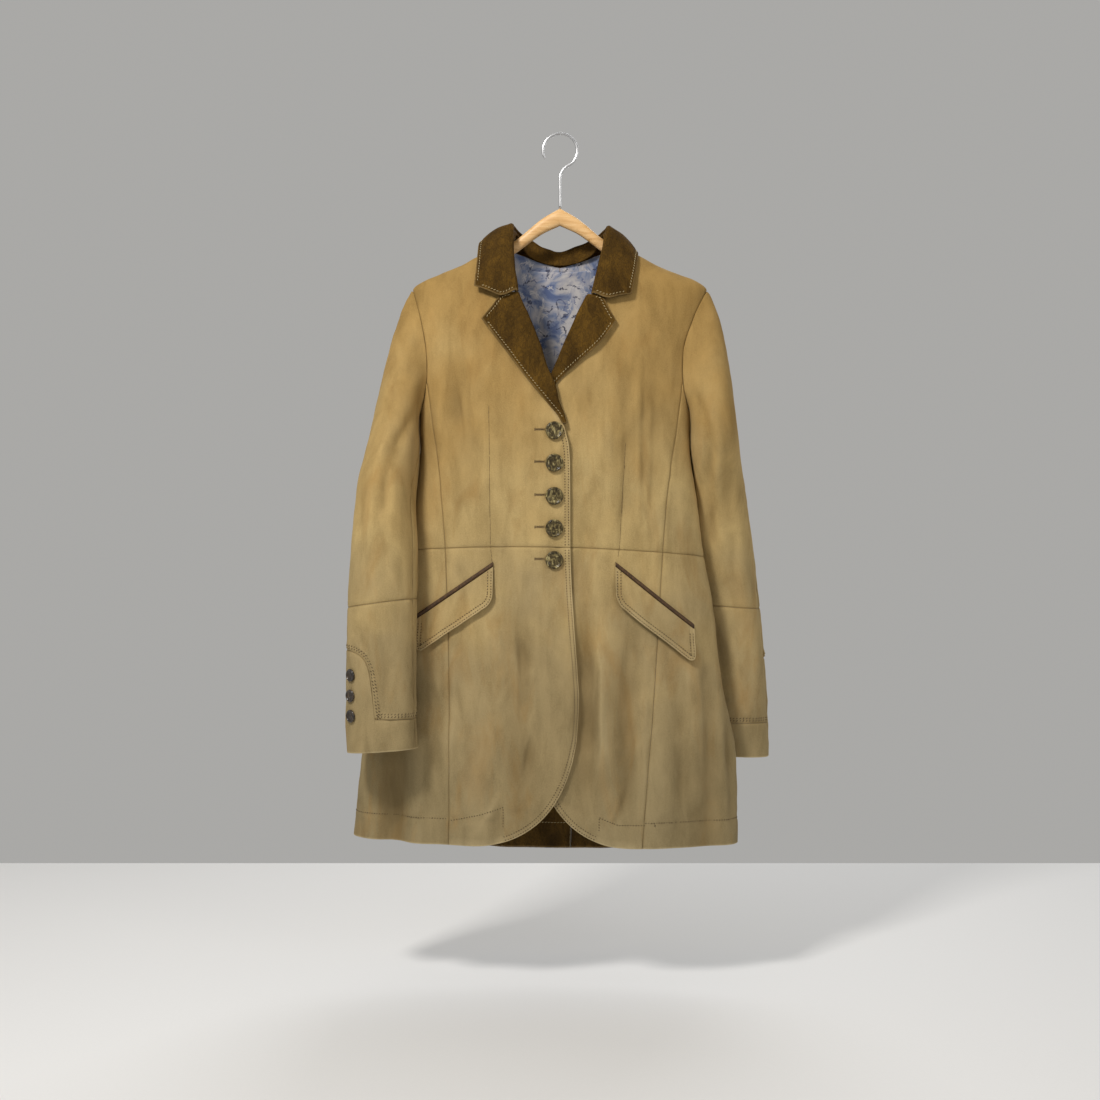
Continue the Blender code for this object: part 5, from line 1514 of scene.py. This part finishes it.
def lapel(node, side, edge, outer_rows, top):
    """Lapel turned back over the roll line, with a short return behind the front."""
    outer = table_line(outer_rows)
    top = [(x, z + lift) for (x, z), lift in zip(top, GORGE_LIFT)]
    low = min(outer_rows)[0]
    share = np.linspace(0, 1, LAPEL_ROWS * LAPEL_DENSITY + 1)
    roll_z = low + (top[0][1] - low) * share
    roll = stacked(edge(roll_z), roll_z)
    roll[-1] = top[0]
    edge_z = low + (top[-1][1] - low) * share
    rim = stacked(outer(edge_z), edge_z)
    head = join_runs(between(top[0], top[1], 1), between(top[1], top[2], 2))
    flat = coons(roll, rim, between(roll[0], rim[0], 3), head)
    spread = np.minimum(1.0, np.linalg.norm(rim - roll, axis=-1) / LAPEL_SPREAD)
    radius = ROLL_RADIUS * (ROLL_NARROW + (1 - ROLL_NARROW) * spread)
    places = [(roll[:, 0] + side * reach * radius, roll[:, 1], height * radius)
              for reach, height in ROLL_TURNS]
    for k in range(1, flat.shape[1]):
        lift = radius + LAPEL_LIFT * spread ** 2 * k / (flat.shape[1] - 1)
        places.append((flat[:, k, 0], flat[:, k, 1], lift))
    columns = [front_surface(x, z, lift - WALL / 2, side > 0) for x, z, lift in places]
    points, normals = leaf(columns, LAPEL_DENSITY, -BEHIND)
    panel(node, points, normals, LEAF_BORDERS, "trim", 2 * SEAM_GAP)


def collar(node):
    """Collar with its stand inside, roll line on top and fall outside."""
    at = np.linspace(0, len(COLLAR) - 1, COLLAR_STEPS * COLLAR_DENSITY + 1)
    stations = np.arange(len(COLLAR), dtype=float)
    value = {key: smooth(at, stations, column) for key, column in zip(COLLAR_COLUMNS, np.array(COLLAR).T)}
    roll, edge, seam = (stacked(*(value[f"{line}_{axis}"] for axis in "xyz"))
                        for line in ("roll", "edge", "seam"))
    up = unit(roll - (edge + seam) / 2)
    fall = edge - roll
    out = unit(fall - np.sum(fall * up, axis=-1, keepdims=True) * up)
    columns = [seam]
    for across, height in COLLAR_TURNS:
        columns.append(roll + ROLL_RADIUS * (across * out + (height - 1.0) * up))
    for share in FALL_SHARES:
        bow = COLLAR_BOW * math.sin(math.pi * share) + ROLL_RADIUS * (1.0 - share)
        notch = (1.0 - share) / (1.0 - FALL_SHARES[0])
        columns.append(roll + fall * share + bow * out - (value["dip"] * notch)[:, None] * UP)
    points, normals = leaf(columns, COLLAR_DENSITY, out)
    behind = ease((points[..., 1] - COLLAR_RUMPLE_START) / COLLAR_RUMPLE_FADE)
    rise = COLLAR_RUMPLE * behind * waves(points * np.array(COLLAR_STRETCH), RUMPLE_SIZE, COLLAR_SEED)
    rise = rise * ease(COLLAR_SEAM_FADE * np.linspace(0, 1, points.shape[1]))
    panel(node, points, normals, LEAF_BORDERS, "trim", 2 * SEAM_GAP, rise)


def pocket_places(corners, u, upward):
    """Places along a pocket's slant and up from it, as x and height."""
    (x0, z0), (x1, z1) = corners
    return x0 + (x1 - x0) * u + 0 * upward, z0 + (z1 - z0) * u + upward


def flap(node, corners):
    """Pocket flap with rounded lower corners, lying on the skirt and lifting below."""
    even = np.linspace(0, 1, FLAP_COLUMNS * DENSITY + 1)
    u = (even + (1 - np.cos(np.pi * even)) / 2) / 2
    into = np.clip(1 - np.minimum(u, 1 - u) * math.dist(*corners) / FLAP_CORNER, 0.0, 1.0)
    depth = FLAP_DEPTH - FLAP_CORNER * (1 - np.sqrt(1 - into ** 2))
    v = np.linspace(0, 1, FLAP_ROWS * DENSITY + 1)[:, None]
    x, z = pocket_places(corners, u, -depth * v)
    lift = FLAP_REST + WALL + FLAP_LIFT * v ** FLAP_LIFT_POWER
    points, normals = laid(front_angle(x, z), z, lift)
    panel(node, points, normals, FLAP_BORDERS, "flap", 0.0)


def welt(node, corners):
    """Narrow rounded welt along the top of a flap."""
    u = np.linspace(0, 1, FLAP_COLUMNS * DENSITY + 1)
    across, crown = (rounded(np.array(shares)[:, None], WELT_DENSITY, 0) for shares in WELT_SHARES)
    x, z = pocket_places(corners, u, across * WELT_WIDTH + WELT_RAISE)
    outer, normals = laid(front_angle(x, z), z, FLAP_REST + crown * WELT_WALL)
    inner = outer - crown[..., None] * WELT_WALL * normals
    still = np.zeros(x.shape)
    item = shell(f"{node}_cord", outer, inner, normals, 0.0, ("dark_suede",), wear=still, rise=still)
    stand_for(node)


def back_lining(node):
    """Lining of the upper back, hanging in soft ripples inside the wall."""
    u = np.linspace(-1, 1, LINING_COLUMNS + 1)
    v = np.linspace(0, 1, LINING_ROWS + 1)[:, None]
    top = NECK - BACK_NECK_DROP + u ** 2 * LINING_TOP_CURVE - LINING_TOP_INSET
    z = top * (1 - v) + LINING_BOTTOM * v
    angle = np.broadcast_to(np.pi + u * LINING_HALF_ANGLE, z.shape)
    around, down = LINING_RIPPLES
    slack = LINING_SLACK * (1 + np.sin(around * u + down * v)) * np.sin(np.pi * np.clip(v, 0.06, 1.0))
    points, normals = laid(angle, z, -WALL - LINING_GAP - LINING_WALL - slack)
    panel(node, points, -normals, LINING_BORDERS, "lining", 0.0)


def hem_facing(node, side):
    """Facing inside the back hem, from the centre back seam to the side."""
    low = HEM - HEM_BACK_DROP
    angle = np.linspace(back_seam(side, low)[0], panel_seam(side, -1, low)[0], BACK_COLUMNS + 1)
    v = np.linspace(0, 1, FACING_ROWS + 1)[:, None]
    z = hem_height(angle) + FACING_RAISE + FACING_HEIGHT * (1 - v)
    angle = np.broadcast_to(angle, z.shape)
    points, normals = laid(angle, z, -WALL - INSIDE_GAP - COLLAR_WALL)
    panel(node, points, -normals, FACING_BORDERS, "trim", 2 * SEAM_GAP)


def ring_faces(rings, sides, flip=False):
    """Numbers of the points on rings, of the points beside them, and the faces."""
    index = np.arange(rings * sides).reshape(rings, sides)
    after = np.roll(index, -1, axis=1)
    corners = [index[:-1], after[:-1], after[1:], index[1:]]
    if flip:
        corners[1:] = corners[:0:-1]
    return index, after, np.stack(corners, -1).reshape(-1, 4).tolist()


def button(node, centre, normal, radius, cloth, look="horn"):
    """Horn button with a raised rim and a carved dish, resting on its cloth."""
    offset = np.concatenate([PANELS[name][0].reshape(-1, 3) for name in cloth]) - centre
    height = offset @ normal
    aside = np.linalg.norm(offset - height[:, None] * normal, axis=-1)
    under = (aside < radius) & (np.abs(height) < radius)
    seat = centre + (height[under].max() + BUTTON_REST) * normal
    profile = rounded(np.array(BUTTON_PROFILE) * radius, BUTTON_DENSITY, 0)
    reach, level = profile[1:-1].T
    across = unit(np.cross(UP, normal))
    turn = 2 * np.pi * np.arange(BUTTON_SIDES) / BUTTON_SIDES
    spokes = np.cos(turn)[:, None] * across + np.sin(turn)[:, None] * np.cross(normal, across)
    points = seat + np.maximum(reach, 1e-5)[:, None, None] * spokes + level[:, None, None] * normal
    dish = ease((reach.max() * DISH_SHARE - reach) / DISH_FADE) * (level > DISH_HEIGHT)
    carved = BUTTON_RELIEF * waves(points, BUTTON_RELIEF_SIZE, BUTTON_SEED) * dish[:, None]
    points = points + carved[..., None] * normal
    poles = [seat + profile[k, 1] * normal for k in (0, -1)]
    index, after, faces = ring_faces(len(reach), BUTTON_SIDES)
    faces += [(after[0, k], index[0, k], index.size) for k in range(BUTTON_SIDES)]
    faces += [(index[-1, k], after[-1, k], index.size + 1) for k in range(BUTTON_SIDES)]
    item = make_object(f"{node}_turned", np.concatenate([points.reshape(-1, 3), poles]), faces, (look,))
    stand_for(node)


def tube(node, path, radii, upward, sides, look):
    """Closed bar along a path with an oval section of given half sizes."""
    along = unit(np.gradient(path, axis=0))
    across = unit(np.cross(along, np.broadcast_to(upward, along.shape)))
    rise = np.cross(across, along)
    turn = 2 * np.pi * np.arange(sides) / sides
    flat, steep = (np.sign(wave) * np.abs(wave) ** OVAL_POWER for wave in (np.cos(turn), np.sin(turn)))
    wide, high = radii.T[:, :, None, None]
    points = path[:, None] + wide * flat[:, None] * across[:, None] + high * steep[:, None] * rise[:, None]
    index, _, faces = ring_faces(len(path), sides, flip=True)
    faces += [index[0], index[-1][::-1]]
    item = make_object(f"{node}_bar", points.reshape(-1, 3), faces, (look,))
    stand_for(node)


def hanger_bar(node):
    """Wooden bar that follows the shoulders from inside, with softened ends."""
    reach = np.linspace(NECK_HALF_WIDTH, BAR_END, BAR_POINTS)
    heights = np.linspace(SHOULDER_POINT, NECK, RIDGE_STEPS)
    ridge = np.interp(reach, section(heights, "half_width")[::-1], heights[::-1])
    lower = BAR_CLEARANCE + BAR_NECK_DROP * ease((BAR_NECK_END - reach) / BAR_NECK_FADE)
    top_x, top_z = np.concatenate([BAR_TOP, stacked(reach, ridge - lower)]).T
    x = BAR_END * np.sin(np.linspace(-np.pi / 2, np.pi / 2, BAR_STEPS + 1))
    high = smooth(np.abs(x), *np.array(BAR_HEIGHT).T) / 2
    path = stacked(x, 0.0, smooth(np.abs(x), top_x, top_z) - high)
    tilt = unit(np.gradient(path, axis=0))[:, 0]
    end = np.sqrt(np.clip((BAR_END - np.abs(x)) / BAR_ROUND, 0.05, 1.0))
    tube(node, path, stacked(BAR_HALF_THICKNESS * end, high * tilt * end), UP, BAR_SIDES, "pine")


def hanger_hook(node):
    """Wire hook standing on the bar, its inside top at the origin."""
    radius = HOOK_INSIDE_RADIUS + HOOK_WIRE_RADIUS
    turn = np.radians(np.linspace(*HOOK_TURN, HOOK_STEPS + 1))
    ring = stacked(radius * np.cos(turn), 0.0, radius * np.sin(turn) - HOOK_INSIDE_RADIUS)
    path = rounded(np.concatenate([HOOK_STEM, ring]), HOOK_DENSITY, 0)
    taper = np.clip(np.arange(len(path))[::-1] / HOOK_TAPER, HOOK_TIP, 1.0) ** 0.5
    radii = HOOK_WIRE_RADIUS * stacked(taper, taper)
    tube(node, path, radii, BEHIND, HOOK_SIDES, "steel")


def line_places(line):
    """Length of a line, and its places by distance along it."""
    reach = travelled(line)
    return reach[-1], lambda at: stacked(*(np.interp(at, reach, column) for column in line.T))


def settle(places, nodes):
    """Put places on the outer faces of pieces and give the normals there."""
    points, normals = (np.concatenate([PANELS[node][k].reshape(-1, 3) for node in nodes]) for k in (0, 1))
    key = "+".join(nodes)
    if key not in TREES:
        TREES[key] = KDTree(len(points))
        for k, point in enumerate(points.tolist()):
            TREES[key].insert(point, k)
        TREES[key].balance()
    found = np.array([TREES[key].find(place)[1] for place in places.tolist()])
    normal = normals[found]
    depth = np.sum((places - points[found]) * normal, axis=-1, keepdims=True)
    return places - depth * normal, normal


def spaced(line, pitch):
    """Evenly spaced places along a line, with the line's direction at each."""
    length, place = line_places(line)
    count = max(1, int(round(length / pitch)))
    at = (np.arange(count) + 0.5) * length / count
    return place(at), unit(place(at + pitch / 4) - place(at - pitch / 4))


def stitches(name, runs, look):
    """Stitches as one mesh; each run has its line, pieces and kind."""
    groups = []
    reach, girth, drop = np.array(STITCH_RINGS).T[:, None, :, None, None]
    turn = (2 * np.pi * np.arange(STITCH_SIDES) / STITCH_SIDES)[:, None]
    for order, (line, nodes, kind) in enumerate(runs):
        size = dict(zip(STITCH_COLUMNS, STITCHES[kind]))
        places, ahead = spaced(line, size["pitch"])
        places, normal = settle(places, nodes)
        random = np.random.default_rng(order + STITCH_SEED)
        lean = math.radians(size["slant"]) + size["jitter"] * random.normal(size=len(places))
        half = size["length"] / 2 * random.uniform(*STITCH_SPREAD, len(places))
        beside = unit(np.cross(normal, ahead))
        along = np.cos(lean)[:, None] * np.cross(beside, normal) + np.sin(lean)[:, None] * beside
        grids = (places, along, np.cross(normal, along), normal)
        place, a, b, n = (grid[:, None, None, :] for grid in grids)
        middle = place + reach * half[:, None, None, None] * a + (size["lift"] - drop * size["radius"]) * n
        ring = girth * size["radius"] * (np.cos(turn) * b + np.sin(turn) * n)
        groups.append((middle + ring).reshape(-1, 3))
    vertices = np.concatenate(groups)
    index, _, one = ring_faces(len(STITCH_RINGS), STITCH_SIDES)
    one = [np.array(face) for face in [*one, index[0][::-1], index[-1]]]
    faces = [first + face for first in range(0, len(vertices), index.size) for face in one]
    make_object(name, vertices, faces, (look,))


def border_run(node, border, inset, start, end, kind):
    """Run of stitches inside a border, between two shares of its length."""
    points, normals = PANELS[node]
    line = points[BORDERS[border][0]] + inset * inward(points, normals, border)
    length, place = line_places(line)
    return place(np.linspace(start, end, ROW_STEPS) * length), [node], kind


def sew_tan():
    """Stitches along the fronts, flaps, hems, cuffs and darts."""
    runs = []
    for word in ("right", "left"):
        rows = [BODICE_ROW] * (word == "right") + EDGE_ROWS
        for inset, kind in zip(STITCH_INSETS, ("pick_tan", "pick_back")):
            for part, border, start, end in rows:
                runs.append(border_run(f"{part}_{word}", border, inset, start, end, kind))
        row = HEM_ROWS[word]
        at = np.linspace(0, len(row) - 1, HEM_STEPS)
        x, z = (np.interp(at, np.arange(len(row)), column) for column in np.array(row).T)
        runs.append((front_surface(x, z, 0.0, word == "left"), [f"skirt_front_{word}"], "pick_tan"))
        for part in ("side", "back"):
            runs.append(border_run(f"skirt_{part}_{word}", "bottom", HEM_ROW, *HEM_SHARES, "pick_tan"))
        for part in ("top", "under"):
            for inset in CUFF_INSETS:
                piece = f"forearm_{part}_{word}"
                runs.append(border_run(piece, "bottom", inset, *CUFF_SHARES, "cuff_tan"))
    for dart, word in zip(DARTS, ("right", "left")):
        z = np.linspace(dart[0][1], dart[-1][1], DART_STEPS)
        line = front_surface(dart_line(dart, z), z, 0.0, word == "left")
        runs.append((line, [f"bodice_front_{word}", f"skirt_front_{word}"], "thread_line"))
    stitches("stitches_tan", runs, "tan_thread")


def sew_brown():
    """Pale stitches on the collar, lapels and hem facing."""
    rows = [(f"{part}_{word}", *row) for word in ("right", "left") for part, *row in BROWN_ROWS]
    runs = [border_run(*row) for row in rows + SINGLE_ROWS]
    stitches("stitches_pale", runs, "pale_thread")


def sew_buttonholes():
    """Buttonholes of the right front: a dark tube of painted shade in each slit, whipped edges and a bar.
    """
    nodes = ["bodice_front_right", "skirt_front_right"]
    slit_shades = []
    whips = []
    x = np.linspace(*BUTTONHOLE_X, BUTTONHOLE_STEPS)
    bar = np.linspace(-BUTTONHOLE_BAR, BUTTONHOLE_BAR, BUTTONHOLE_STEPS)
    for height in FRONT_BUTTON_HEIGHTS:
        z = height + BUTTONHOLE_RAISE + 0 * x
        slit_shades.append((front_surface(x, z), nodes, "slit"))
        for offset in (-BUTTONHOLE_HALF, BUTTONHOLE_HALF):
            whips.append((front_surface(x, z + offset), nodes, "whip"))
        whips.append((front_surface(0 * x + x[0], z + bar), nodes, "bar"))
    stitches("buttonhole_slit_shade", slit_shades, "dark_suede")
    stitches("buttonhole_threads", whips, "tan_thread")


def build():
    """Make every piece of the coat and its hanger."""
    for word, side, edge, surface in (("right", -1, right_edge, body), ("left", 1, left_edge, under_front)):
        front, beside, back = (f"bodice_{part}_{word}" for part in ("front", "side", "back"))
        body_panel(front, bodice_front(side, edge), surface, FRONT_BORDERS, True)
        body_panel(beside, bodice_side(side), body, SEWN_BORDERS)
        body_panel(back, bodice_back(side), body, SEWN_BORDERS)
        body_panel(f"skirt_front_{word}", skirt_front(side, edge), surface, CUTAWAY_BORDERS, True)
        body_panel(f"skirt_side_{word}", skirt_side(side), body, HUNG_BORDERS)
        body_panel(f"skirt_back_{word}", skirt_back(side), body, HUNG_BORDERS)
        hem_facing(f"hem_facing_{word}", side)
    for word, rings, row in (("right", RIGHT_RINGS, RIGHT_SLEEVE), ("left", LEFT_RINGS, LEFT_SLEEVE)):
        for node, turns, down in sleeve_pieces(word, rings, row):
            borders = ("seam", SLEEVE_ENDS[node.split("_")[0]], "seam", "seam")
            sleeve_panel(node, rings, turns, down, borders)
    lapel("lapel_right", -1, right_edge, RIGHT_LAPEL_EDGE, RIGHT_LAPEL_TOP)
    lapel("lapel_left", 1, left_edge, LEFT_LAPEL_EDGE, LEFT_LAPEL_TOP)
    collar("collar")
    for word, corners in (("right", RIGHT_POCKET), ("left", LEFT_POCKET)):
        flap(f"pocket_flap_{word}", corners)
        welt(f"pocket_welt_{word}", corners)
    back_lining("lining_back")
    for k, z in enumerate(FRONT_BUTTON_HEIGHTS):
        angle = front_angle(CENTRE_FRONT, z)
        button(f"button_front_{k + 1}", body(angle, z), body_normal(angle, z), FRONT_BUTTON_RADIUS,
               ["bodice_front_right", "skirt_front_right"])
    drop = RIGHT_SLEEVE[3] - LEFT_SLEEVE[3]
    for word, rings, turn, lower in (("right", RIGHT_RINGS, CUFF_BUTTON_ANGLE, 0.0),
                                     ("left", LEFT_RINGS, 2 * np.pi - CUFF_BUTTON_ANGLE, drop)):
        cloth = [f"{part}_{face}_{word}" for part in ("cuff", "forearm") for face in ("top", "under")]
        for k, z in enumerate(CUFF_BUTTON_HEIGHTS):
            down = sleeve_down(rings, z - lower)
            normal = normal_of(lambda a, b: sleeve(rings, a, b), turn, down, SLEEVE_STEPS)
            normal = np.sign(rings[0][1]) * normal
            button(f"button_cuff_{word}_{k + 1}", sleeve(rings, turn, down), normal, CUFF_BUTTON_RADIUS,
                   cloth, "horn_dark")
    hanger_bar("hanger_bar")
    hanger_hook("hanger_hook")
    sew_tan()
    sew_brown()
    sew_buttonholes()


def aim(item, place, target):
    """Put an item at a place and point it at a target."""
    item.location = place
    item.rotation_euler = (Vector(target) - Vector(place)).to_track_quat("-Z", "Y").to_euler()
    bpy.context.scene.collection.objects.link(item)


def studio():
    """Camera at the photograph's angle, soft lights, a pale world and a pale floor."""
    scene = bpy.context.scene
    data = bpy.data.cameras.new("camera")
    data.sensor_width = SENSOR_WIDTH
    data.lens = SENSOR_WIDTH * CAMERA_DISTANCE / FRAME_WIDTH
    camera = bpy.data.objects.new("camera", data)
    aim(camera, (CAMERA_X, -CAMERA_DISTANCE, CAMERA_HEIGHT), (CAMERA_X, 0.0, CAMERA_HEIGHT))
    scene.camera = camera
    for name, place, size, power, colour in LIGHTS:
        light = bpy.data.lights.new(name, "AREA")
        light.size = size
        light.energy = power
        light.color = colour
        aim(bpy.data.objects.new(name, light), place, LIGHT_TARGET)
    scene.world = bpy.data.worlds.new("pale_room")
    scene.world.use_nodes = True
    background = scene.world.node_tree.nodes["Background"]
    background.inputs["Color"].default_value = (*ROOM, 1.0)
    background.inputs["Strength"].default_value = ROOM_STRENGTH
    scene.view_settings.view_transform = "Standard"
    corners = [(-FLOOR_X, FLOOR_NEAR), (FLOOR_X, FLOOR_NEAR), (FLOOR_X, FLOOR_FAR), (-FLOOR_X, FLOOR_FAR)]
    mesh = bpy.data.meshes.new("floor")
    mesh.from_pydata([(x, y, FLOOR_HEIGHT) for x, y in corners], [], [(0, 1, 2, 3)])
    mesh.materials.append(LOOKS["floor"])
    floor = bpy.data.objects.new("floor", mesh)
    scene.collection.objects.link(floor)


build()
studio()
